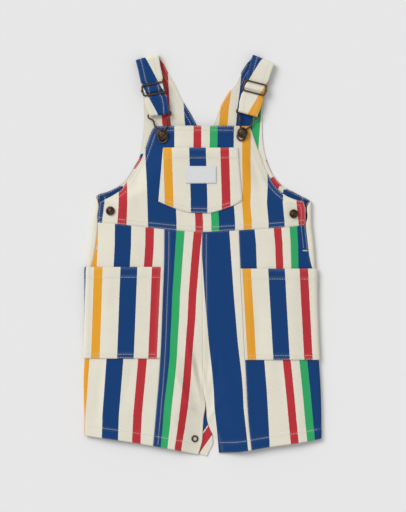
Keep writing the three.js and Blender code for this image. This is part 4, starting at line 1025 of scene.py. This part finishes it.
def edge_line(name, edge, inset, start=0.0, end=0.0):
    """A line on the plan of a piece, a distance in from one edge, trimmed at its ends."""
    outer = PIECES[name]["outer"]
    line, near = {"left": (outer[:, 0], outer[:, 6]), "right": (outer[:, -1], outer[:, -7]),
                  "bottom": (outer[0], outer[6]), "top": (outer[-1], outer[-7])}[edge]
    line, near = line[:, :2], near[:, :2]
    tangent = np.gradient(line, axis=0)
    tangent /= np.maximum(np.linalg.norm(tangent, axis=1, keepdims=True), 1e-9)
    normal = np.stack([-tangent[:, 1], tangent[:, 0]], axis=1)
    facing = np.sign(((near - line) * normal).sum(1))
    normal *= (1 if np.median(facing) >= 0 else -1)
    for _ in range(3):
        normal[1:-1] = (normal[:-2] + normal[1:-1] + normal[2:]) / 3
    shifted = line + normal / np.linalg.norm(normal, axis=1, keepdims=True) * inset
    forward = (np.diff(shifted, axis=0) * tangent[:-1]).sum(1) > 0
    shifted = shifted[np.concatenate([[True], forward])]
    run = np.concatenate([[0], np.cumsum(np.linalg.norm(np.diff(shifted, axis=0), axis=1))])
    at = np.arange(start, run[-1] - end, 1.0)
    return np.stack([np.interp(at, run, shifted[:, k]) for k in range(2)], axis=1)


STITCH_RINGS = ((-0.42, 0.6, -0.14), (-0.2, 1.0, 0.1), (0.2, 1.0, 0.1), (0.42, 0.6, -0.14))


def stitches(name, rows, length=None):
    """One mesh of thread for many rows; a row is (places, directions, normals)."""
    settings = bpy.context.scene.overalls
    length = settings.stitch / MM if length is None else length
    half = settings.thread_width / MM / 2
    place, direction, normal = (np.concatenate([row[k] for row in rows]) for k in range(3))
    good = ~np.isnan(place).any(axis=1)
    place, direction, normal = place[good], direction[good], normal[good]
    normal /= np.linalg.norm(normal, axis=1, keepdims=True)
    direction -= normal * (direction * normal).sum(1, keepdims=True)
    direction /= np.linalg.norm(direction, axis=1, keepdims=True)
    across = np.cross(normal, direction)
    chance = np.random.default_rng(len(name) * 7 + len(place))
    place = place + across * chance.normal(0, 0.07, (len(place), 1))
    long = length * chance.uniform(0.88, 1.06, (len(place), 1))
    parts = [place - direction * long * 0.5 - normal * 0.25]
    for at, fat, up in STITCH_RINGS:
        for turn in np.arange(6) * math.pi / 3:
            parts.append(place + direction * long * at + across * half * fat * math.cos(turn)
                         + normal * (up + 0.7 * half * fat * math.sin(turn)))
    parts.append(place + direction * long * 0.5 - normal * 0.25)
    vertices = np.stack(parts, axis=1)
    faces = [(0, 1 + (k + 1) % 6, 1 + k) for k in range(6)]
    faces += [(25, 19 + k, 19 + (k + 1) % 6) for k in range(6)]
    for ring in range(3):
        first = 1 + 6 * ring
        faces += [(first + k, first + (k + 1) % 6, first + 6 + (k + 1) % 6, first + 6 + k) for k in range(6)]
    count = len(place)
    every = [tuple(26 * k + corner for corner in face) for k in range(count) for face in faces]
    mesh = bpy.data.meshes.new(name)
    mesh.from_pydata((vertices.reshape(-1, 3) * MM).tolist(), [], every)
    mesh.polygons.foreach_set("use_smooth", [True] * len(mesh.polygons))
    mesh.update()
    made = bpy.data.objects.new(name, mesh)
    bpy.context.scene.collection.objects.link(made)
    made.data.materials.append(bpy.data.materials.get("sewing thread")
                               or plain_weave("sewing thread", settings.thread, 0.0005))
    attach(made, "root")
    return made


def pitch():
    settings = bpy.context.scene.overalls
    return (settings.stitch + settings.stitch_gap) / MM


def sewn(name, line, side=1, every=None):
    """A row of stitches along a line on the plan of a piece."""
    middle, direction = evenly(np.asarray(line, float), every or pitch())
    place, normal = hits(name, middle, side)
    ahead, _ = hits(name, middle + direction * 0.4, side)
    rise = np.nan_to_num(ahead[:, 2] - place[:, 2]) / 0.4
    direction = np.column_stack([direction, np.clip(rise, -1.5, 1.5)])
    return place, direction, normal


def bartack(name, x, y, degrees, length=6.0, width=2.0, side=1):
    """A short bar of close stitches across a stress point."""
    angle = math.radians(degrees)
    forward = np.array([math.cos(angle), math.sin(angle)])
    at = np.arange(-length / 2, length / 2, 0.62)[:, None]
    middle = np.array([x, y]) + at * forward
    place, normal = hits(name, middle, side)
    sideways = np.tile([-forward[1], forward[0], 0.0], (len(middle), 1))
    sideways[:, :2] += forward * 0.18
    return place, sideways, normal


def grid_row(name, inset, start, end):
    """A row of stitches on a piece's own grid, by distance from one long edge. Inset below 0 counts
    from the other edge."""
    piece = PIECES[name]
    run_u, outer, normal = piece["run_u"], piece["outer"], piece["normal"]
    line, up = [], []
    for k in range(len(outer)):
        at = inset if inset > 0 else run_u[k, -1] + inset
        line.append([np.interp(at, run_u[k], outer[k, :, c]) for c in range(3)])
        up.append([np.interp(at, run_u[k], normal[k, :, c]) for c in range(3)])
    line, up = np.array(line), np.array(up)
    run = np.concatenate([[0], np.cumsum(np.linalg.norm(np.diff(line, axis=0), axis=1))])
    inside = (run >= start) & (run <= run[-1] - end)
    joined = np.concatenate([line, up], axis=1)[inside]
    run = run[inside] - run[inside][0]
    count = int(run[-1] / pitch())
    at = (np.arange(count) + 0.5) * run[-1] / count
    middle = np.stack([np.interp(at, run, joined[:, k]) for k in range(6)], axis=1)
    ahead = np.stack([np.interp(at + 0.5, run, joined[:, k]) for k in range(3)], axis=1)
    return middle[:, :3], ahead - middle[:, :3], middle[:, 3:]


class OVERALLS_OT_facings(Operator):
    """Sews the narrow facings inside the back's armholes"""
    bl_idname = "overalls.facings"
    bl_label = "Armhole facings"

    def execute(self, context):
        tables = {LEFT: [(76, 161), (89.6, 180.1), (112, 198.9), (126.8, 210)],
                  RIGHT: [(70, 161), (86.3, 180.1), (90, 198.9), (101, 210), (190, 226)]}
        for side, word in SIDE_WORDS.items():
            back = f"back_{word}_cloth"
            edge = "right" if side == LEFT else "left"
            widest, high = (136, 127) if side == LEFT else (140.6, 122)
            insets = np.array([0.4, 0.8, 1.5, 3.2, 5.3, 7.4, 9.0, 10.2, 10.8, 11.1])
            lines = []
            for inset in insets:
                line = edge_line(back, edge, inset, 0, 1.5)
                under_arm = (line[:, 1] > 62) & (line[:, 1] < high)
                line = line[(side * line[:, 0] < widest - 0.65 * inset) & under_arm]
                run = np.concatenate([[0], np.cumsum(np.linalg.norm(np.diff(line, axis=0), axis=1))])
                at = np.linspace(0, run[-1], 100)
                lines.append(np.stack([np.interp(at, run, line[:, k]) for k in range(2)], axis=1))
            plan = np.stack(lines, axis=1)
            if side == RIGHT:
                plan = plan[:, ::-1]
            place, _ = hits(back, plan.reshape(-1, 2))
            grid = place.reshape(*plan.shape[:2], 3)
            missing = np.isnan(grid[..., 2])
            grid[missing] = np.concatenate([plan[missing], np.full((missing.sum(), 1), 1.0)], axis=1)
            grid[..., 2] += 0.5
            table = np.array(tables[side], float)
            edge_y = grid[:, -1 if side == RIGHT else 0, 1]
            u = np.interp(edge_y, table[:, 0], table[:, 1])[:, None] + 0 * grid[..., 0]
            made = sew(f"armhole_facing_{word}", None, grid, u, grid[..., 0], 0.45,
                       {"left": "plain", "right": "plain"}, cotton())
            sheet(made)
        return {"FINISHED"}


class OVERALLS_OT_stitching(Operator):
    """Topstitches the edges, seams, hems, pockets and straps"""
    bl_idname = "overalls.stitching"
    bl_label = "Stitching"

    def execute(self, context):
        rows = [sewn("bib", edge_line("bib", "top", inset, 1, 1)) for inset in (1.1, 5.6)]
        for edge in ("left", "right"):
            rows += [sewn("bib", edge_line("bib", edge, inset, 2, inset)) for inset in (1.1, 6.0)]
        rows += [sewn("bib", edge_line("bib", "bottom", inset, 1, 1)) for inset in (1.0, 6.2)]
        stitches("bib_stitching", rows)
        rows = []
        for piece in ("leg_left_side", "leg_left_centre", "leg_right_centre", "leg_right_side"):
            rows.append(sewn(piece, edge_line(piece, "bottom", 13.0, 0.8, 0.8)))
        rows.append(sewn("leg_left_centre", edge_line("leg_left_centre", "left", 5.8, 2, 2)))
        rows.append(sewn("leg_right_centre", edge_line("leg_right_centre", "left", 5.2, 92, 2)))
        rows.append(sewn("leg_right_centre", edge_line("leg_right_centre", "right", 1.4, 2, 190)))
        rows.append(sewn("leg_left_centre", edge_line("leg_left_centre", "right", 5.0, 14, 200)))
        for inset in (1.6, 6.0):
            rows.append(sewn("leg_right_side", edge_line("leg_right_side", "right", inset, 247, 0)))
        rows.append(bartack("leg_left_side", -137.1, 9.7, 96, 6))
        rows.append(bartack("leg_right_side", 133.9, 5.9, 0, 6))
        stitches("leg_stitching", rows)
        rows = []
        for name in ("bib_patch_pocket", "left_patch_pocket", "right_patch_pocket"):
            rows.append(sewn(name, edge_line(name, "top", 13.4, 1, 1)))
            rows += [sewn(name, edge_line(name, "bottom", inset, inset, inset)) for inset in (1.0, 5.4)]
            edges = {"left_patch_pocket": ["right"], "right_patch_pocket": ["left"]}.get(name, ["left", "right"])
            for edge in edges:
                rows.append(sewn(name, edge_line(name, edge, 1.1, 1, 0.8)))
        stitches("pocket_stitching", rows)
        rows = []
        for edge, inset in (("left", 1.0), ("right", 1.0), ("top", 1.0), ("bottom", 1.0)):
            rows.append(sewn("woven_label", edge_line("woven_label", edge, inset, 1, 1), every=2.0))
        stitches("label_stitching", rows, 1.5)
        rows = []
        for word in SIDE_WORDS.values():
            for inset in (6.5, -6.5):
                rows.append(grid_row(f"{word}_strap", inset, 1, 3))
        stitches("strap_stitching", rows)
        rows = []
        for side, word in SIDE_WORDS.items():
            name = f"back_{word}_cloth"
            inner, outer = ("left", "right") if side == LEFT else ("right", "left")
            for inset in (1.5, 6.2):
                rows.append(sewn(name, edge_line(name, inner, inset, 2, 2), -1))
                armhole = edge_line(name, outer, inset, 0, 2)
                rows.append(sewn(name, armhole[armhole[:, 1] > 84], -1))
                neck = edge_line(name, inner, inset, 0, 1)
                rows.append(sewn(name, neck[neck[:, 1] > 149], 1))
            rows.append(sewn(name, edge_line(name, "bottom", 13.0, 3, 9), -1))
            rows.append(sewn(name, edge_line(name, "top", 4.0, 1, 1), -1))
            facing = f"armhole_facing_{word}"
            rows.append(sewn(facing, edge_line(facing, "left", 0.9 if side == RIGHT else 1.2, 1, 1)))
            rows.append(sewn(facing, edge_line(facing, "right", 0.9 if side == LEFT else 1.2, 1, 1)))
        stitches("back_stitching", rows)
        return {"FINISHED"}


# Fastenings

def faces_where(test):
    """In edit mode, selects the faces that pass a test of their middle and normal, and no others."""
    bpy.ops.mesh.select_all(action="DESELECT")
    mesh = bmesh.from_edit_mesh(bpy.context.object.data)
    for face in mesh.faces:
        face.select = test(face.calc_center_median() / MM, face.normal)
    bmesh.update_edit_mesh(bpy.context.object.data)


def finish_metal(made, name, node_name, angle=35):
    """Smooths a fastening, gives it its finish and puts it in its node's place."""
    bpy.ops.object.select_all(action="DESELECT")
    made.select_set(True)
    bpy.context.view_layer.objects.active = made
    bpy.ops.object.mode_set(mode="EDIT")
    bpy.ops.mesh.select_all(action="SELECT")
    bpy.ops.mesh.remove_doubles(threshold=0.000002)
    bpy.ops.mesh.normals_make_consistent(inside=False)
    bpy.ops.object.mode_set(mode="OBJECT")
    bpy.ops.object.transform_apply(location=True, rotation=True, scale=True)
    bpy.ops.object.shade_smooth_by_angle(angle=math.radians(angle))
    made.name = made.data.name = name
    made.data.materials.clear()
    made.data.materials.append(bpy.data.materials.get("antique bronze")
                               or old_bronze(bpy.context.scene.overalls))
    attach(made, "root")
    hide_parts(node_name)
    return made


def seat(made, x, y, lift):
    """Turns a fastening to stand on the front at a place."""
    place = lifted(lambda a, b: points(a, b, front_height(a, b, False)), np.array(float(x)), np.array(float(y)), lift)
    foot = np.array([x, y, float(front_height(np.array(float(x)), np.array(float(y)), False))])
    normal = Vector(place - foot).normalized()
    turn = Vector((0, 0, 1)).rotation_difference(normal).to_matrix().to_4x4()
    made.data.transform(Matrix.Translation(Vector(place) * MM) @ turn)


def bevelled(made, width, segments=2):
    bevel = made.modifiers.new("edges", "BEVEL")
    bevel.width, bevel.segments, bevel.limit_method, bevel.angle_limit = width * MM, segments, "ANGLE", 0.5
    bpy.ops.object.select_all(action="DESELECT")
    made.select_set(True)
    bpy.context.view_layer.objects.active = made
    bpy.ops.object.modifier_apply(modifier=bevel.name)


def metal_button(name, node_name, radius, stem, cap, stem_length, place):
    """A turned metal button: a rolled rim, two plain rings and a low dome, on a stem."""
    bpy.ops.object.select_all(action="DESELECT")
    thick = cap - 0.9
    bpy.ops.mesh.primitive_cylinder_add(vertices=44, radius=radius * MM, depth=thick * MM,
                                        location=(0, 0, (stem_length + thick / 2) * MM))
    made = bpy.context.object
    bpy.ops.object.transform_apply(location=True)
    bpy.ops.object.mode_set(mode="EDIT")
    faces_where(lambda middle, normal: normal.z > 0.9)
    for inset, depth in ((0.35, 0.3), (0.75, 0.2), (0.45, -0.55), (0.35, 0.0), (0.5, 0.45), (0.4, -0.3), (0.3, 0.0),
                         (0.45, 0.35), (radius * 0.16, 0.22), (radius * 0.16, 0.1)):
        bpy.ops.mesh.inset(thickness=inset * MM, depth=depth * MM)
    faces_where(lambda middle, normal: normal.z < -0.9)
    bpy.ops.mesh.inset(thickness=0.5 * MM, depth=0.25 * MM)
    bpy.ops.mesh.inset(thickness=(radius - 0.5 - stem) * MM, depth=0)
    bpy.ops.mesh.extrude_region_move(TRANSFORM_OT_translate={"value": (0, 0, -(stem_length - 0.2) * MM)})
    bpy.ops.object.mode_set(mode="OBJECT")
    bevelled(made, 0.12)
    seat(made, *place, GAP)
    return finish_metal(made, name, node_name)


class OVERALLS_OT_buttons(Operator):
    """Turns the four metal buttons"""
    bl_idname = "overalls.buttons"
    bl_label = "Buttons"

    def execute(self, context):
        for side, word in SIDE_WORDS.items():
            metal_button(f"{word}_bib_stud", f"bib_button_{word}", 7, 1.5, 2.7, 3.1, BIB_BUTTONS[side])
            metal_button(f"{word}_side_stud", f"side_button_{word}", 5.8, 1.6, 2.4, 0.8, SIDE_BUTTONS[side])
        return {"FINISHED"}


def wire_ring(places, radius):
    """A closed ring of round wire through places, as a mesh."""
    bpy.ops.object.select_all(action="DESELECT")
    bpy.ops.curve.primitive_nurbs_path_add(location=(0, 0, 0))
    made = bpy.context.object
    curve = made.data
    curve.splines.clear()
    spline = curve.splines.new("POLY")
    spline.points.add(len(places) - 1)
    spline.points.foreach_set("co", [c for place in places for c in (*(np.asarray(place) * MM), 1.0)])
    spline.use_cyclic_u = True
    curve.dimensions, curve.bevel_depth, curve.bevel_resolution = "3D", radius * MM, 3
    curve.use_fill_caps = False
    bpy.ops.object.convert(target="MESH")
    return bpy.context.object


def rounded(places, count):
    """A smooth closed line through places."""
    places = np.asarray(places, float)
    result = []
    for k in range(len(places)):
        p0, p1, p2, p3 = (places[(k + j) % len(places)] for j in (-1, 0, 1, 2))
        t0, t1 = 0.0, np.linalg.norm(p1 - p0) ** 0.5
        t2 = t1 + np.linalg.norm(p2 - p1) ** 0.5
        t3 = t2 + np.linalg.norm(p3 - p2) ** 0.5
        for t in np.linspace(t1, t2, count, endpoint=False):
            a1 = (t1 - t) / (t1 - t0) * p0 + (t - t0) / (t1 - t0) * p1
            a2 = (t2 - t) / (t2 - t1) * p1 + (t - t1) / (t2 - t1) * p2
            a3 = (t3 - t) / (t3 - t2) * p2 + (t - t2) / (t3 - t2) * p3
            b1 = (t2 - t) / (t2 - t0) * a1 + (t - t0) / (t2 - t0) * a2
            b2 = (t3 - t) / (t3 - t1) * a2 + (t - t1) / (t3 - t1) * a3
            result.append((t2 - t) / (t2 - t1) * b1 + (t - t1) / (t2 - t1) * b2)
    return result


class OVERALLS_OT_hooks(Operator):
    """Bends the two wire hooks over the bib buttons"""
    bl_idname = "overalls.hooks"
    bl_label = "Hooks"

    def execute(self, context):
        radius = settings_of(context).wire / MM
        for side, word in SIDE_WORDS.items():
            button_x, button_y = BIB_BUTTONS[side]
            angle = math.radians(STRAPS[side]["bar_tilt"])
            half = HOOK_HALF + [(-across, up) for across, up in HOOK_HALF[-2:0:-1]]
            places = []
            for across, up in half:
                x = button_x + across * math.cos(angle) - up * math.sin(angle)
                y = button_y + across * math.sin(angle) + up * math.cos(angle)
                reach = radius + 0.6
                around_x = x + np.array([0, reach, -reach, 0, 0])
                around_y = np.minimum(y + np.array([0, 0, 0, reach, -reach]), BIB_TOP)
                on_bib = front_height(around_x, around_y, False).max() + LAID_GAP + radius
                places.append((x, y, mix(on_bib, BAR_HEIGHT, float(soft((y - STRAPS[side]["bar"][1] + 18) / 14)))))
            finish_metal(wire_ring(rounded(places, 4), radius), f"{word}_wire_hook", f"hook_{word}", 60)
        return {"FINISHED"}


class OVERALLS_OT_sliders(Operator):
    """Makes the two strap sliders, each a wire frame with a middle bar and a nub"""
    bl_idname = "overalls.sliders"
    bl_label = "Sliders"

    def execute(self, context):
        radius = settings_of(context).wire / MM
        for side, word in SIDE_WORDS.items():
            across, along_strap, corner = SLIDER_ACROSS / 2, SLIDER_ALONG / 2, 2.4
            places = []
            for cx, cy, start in ((1, 1, 0), (-1, 1, 90), (-1, -1, 180), (1, -1, 270)):
                for turn in np.radians(start + np.arange(0, 91, 15)):
                    places.append((cx * (across - corner) + corner * math.cos(turn),
                                   cy * (along_strap - corner) + corner * math.sin(turn), 0))
            ring = wire_ring(places, radius)
            bpy.ops.object.select_all(action="DESELECT")
            bpy.ops.mesh.primitive_cylinder_add(vertices=16, radius=radius * MM, depth=(SLIDER_ACROSS + 1) * MM,
                                                location=(0, 0, -MIDDLE_BAR_DROP * MM), rotation=(0, math.pi / 2, 0))
            bar = bpy.context.object
            bevelled(bar, 0.3)
            bpy.ops.mesh.primitive_cylinder_add(vertices=16, radius=1.3 * MM, depth=4.2 * MM,
                                                location=(side * (across + 0.9) * MM, 0, 0),
                                                rotation=(math.pi / 2, 0, 0))
            nub = bpy.context.object
            bevelled(nub, 0.4, 3)
            for part in (ring, bar, nub):
                part.select_set(True)
            bpy.context.view_layer.objects.active = ring
            bpy.ops.object.transform_apply(location=True, rotation=True, scale=True)
            bpy.ops.object.join()
            turn = Matrix.Rotation(math.radians(STRAPS[side]["slider_tilt"]), 4, "Z")
            ring.data.transform(Matrix.Translation(Vector((*STRAPS[side]["slider"], SLIDER_HEIGHT)) * MM) @ turn)
            finish_metal(ring, f"{word}_strap_slider", f"slider_{word}", 50)
        return {"FINISHED"}


class OVERALLS_OT_snap(Operator):
    """Spins the ring snap at the hem of the inside leg"""
    bl_idname = "overalls.snap"
    bl_label = "Snap"

    def execute(self, context):
        bpy.ops.object.select_all(action="DESELECT")
        bpy.ops.mesh.primitive_circle_add(vertices=14, radius=0.6 * MM, location=(3.55 * MM, 0, 0.6 * MM),
                                          rotation=(math.pi / 2, 0, 0))
        made = bpy.context.object
        made.scale = (1.75, 1, 1)
        bpy.ops.object.transform_apply(location=True, rotation=True, scale=True)
        bpy.ops.object.mode_set(mode="EDIT")
        bpy.ops.mesh.select_all(action="SELECT")
        bpy.ops.mesh.spin(steps=44, angle=2 * math.pi, center=(0, 0, 0), axis=(0, 0, 1))
        bpy.ops.mesh.select_all(action="SELECT")
        bpy.ops.mesh.remove_doubles(threshold=0.00002)
        faces_where(lambda middle, normal: normal.z > 0.8)
        bpy.ops.mesh.inset(thickness=0.18 * MM, depth=-0.12 * MM)
        bpy.ops.object.mode_set(mode="OBJECT")
        seat(made, *SNAP_PLACE, LAID_GAP)
        finish_metal(made, "ring_snap", "inseam_snap", 50)
        return {"FINISHED"}


class OVERALLS_OT_stage(Operator):
    """Lays a pale floor under the overalls, with soft light and a camera straight above"""
    bl_idname = "overalls.stage"
    bl_label = "Stage"

    def execute(self, context):
        bpy.ops.object.select_all(action="DESELECT")
        bpy.ops.mesh.primitive_plane_add(size=8, location=(0, 0, -0.00035))
        floor = context.object
        floor.name = "floor"
        made, tree, shader = material("pale floor")
        place = node(tree, "ShaderNodeTexCoord").outputs["Object"]
        grain = noise(tree, place, 60, 3)
        shade = maths(tree, "ADD", maths(tree, "MULTIPLY", grain, 0.01), 0.8)
        tree.links.new(node(tree, "ShaderNodeCombineColor", {0: shade, 1: shade, 2: shade}).outputs[0],
                       shader.inputs["Base Color"])
        shader.inputs["Roughness"].default_value = 0.9
        floor.data.materials.append(made)
        world = context.scene.world or bpy.data.worlds.new("soft surround")
        context.scene.world = world
        world.use_nodes = True
        background = world.node_tree.nodes.get("Background") or world.node_tree.nodes.new("ShaderNodeBackground")
        background.inputs[0].default_value = (1, 1, 1, 1)
        background.inputs[1].default_value = 0.585
        light = bpy.data.lights.new("window light", "SUN")
        light.energy, light.angle = 1.86, math.radians(34)
        lamp = bpy.data.objects.new("window light", light)
        lamp.rotation_euler = Vector((1.0, -0.85, -1.25)).to_track_quat("-Z", "Y").to_euler()
        context.scene.collection.objects.link(lamp)
        lens = bpy.data.cameras.new("camera")
        lens.lens, lens.clip_end = 250, 40
        camera = bpy.data.objects.new("camera", lens)
        camera.location = (0.001, -0.0011, 4.628)
        context.scene.collection.objects.link(camera)
        context.scene.camera = camera
        context.scene.view_settings.view_transform = "Standard"
        return {"FINISHED"}


class OVERALLS_PT_pieces(Panel):
    """Lists the pieces of the overalls"""
    bl_idname = "OVERALLS_PT_pieces"
    bl_label = "Bib overalls"
    bl_space_type = "VIEW_3D"
    bl_region_type = "UI"
    bl_category = "Overalls"

    def draw(self, context):
        for key in OverallsSettings.__annotations__:
            self.layout.prop(context.scene.overalls, key)
        for step in STEPS:
            self.layout.operator(step.bl_idname)


STEPS = [OVERALLS_OT_front_bib, OVERALLS_OT_leg_panels, OVERALLS_OT_back, OVERALLS_OT_pockets,
         OVERALLS_OT_label, OVERALLS_OT_straps, OVERALLS_OT_facings, OVERALLS_OT_stitching,
         OVERALLS_OT_buttons, OVERALLS_OT_hooks, OVERALLS_OT_sliders, OVERALLS_OT_snap, OVERALLS_OT_stage]


def register():
    for made in (OverallsSettings, *STEPS, OVERALLS_PT_pieces):
        bpy.utils.register_class(made)
    bpy.types.Scene.overalls = PointerProperty(type=OverallsSettings)


def unregister():
    del bpy.types.Scene.overalls
    for made in (OVERALLS_PT_pieces, *reversed(STEPS), OverallsSettings):
        bpy.utils.unregister_class(made)


def main():
    register()
    for step in STEPS:
        group, name = step.bl_idname.split(".")
        getattr(getattr(bpy.ops, group), name)()


if __name__ == "__main__":
    main()
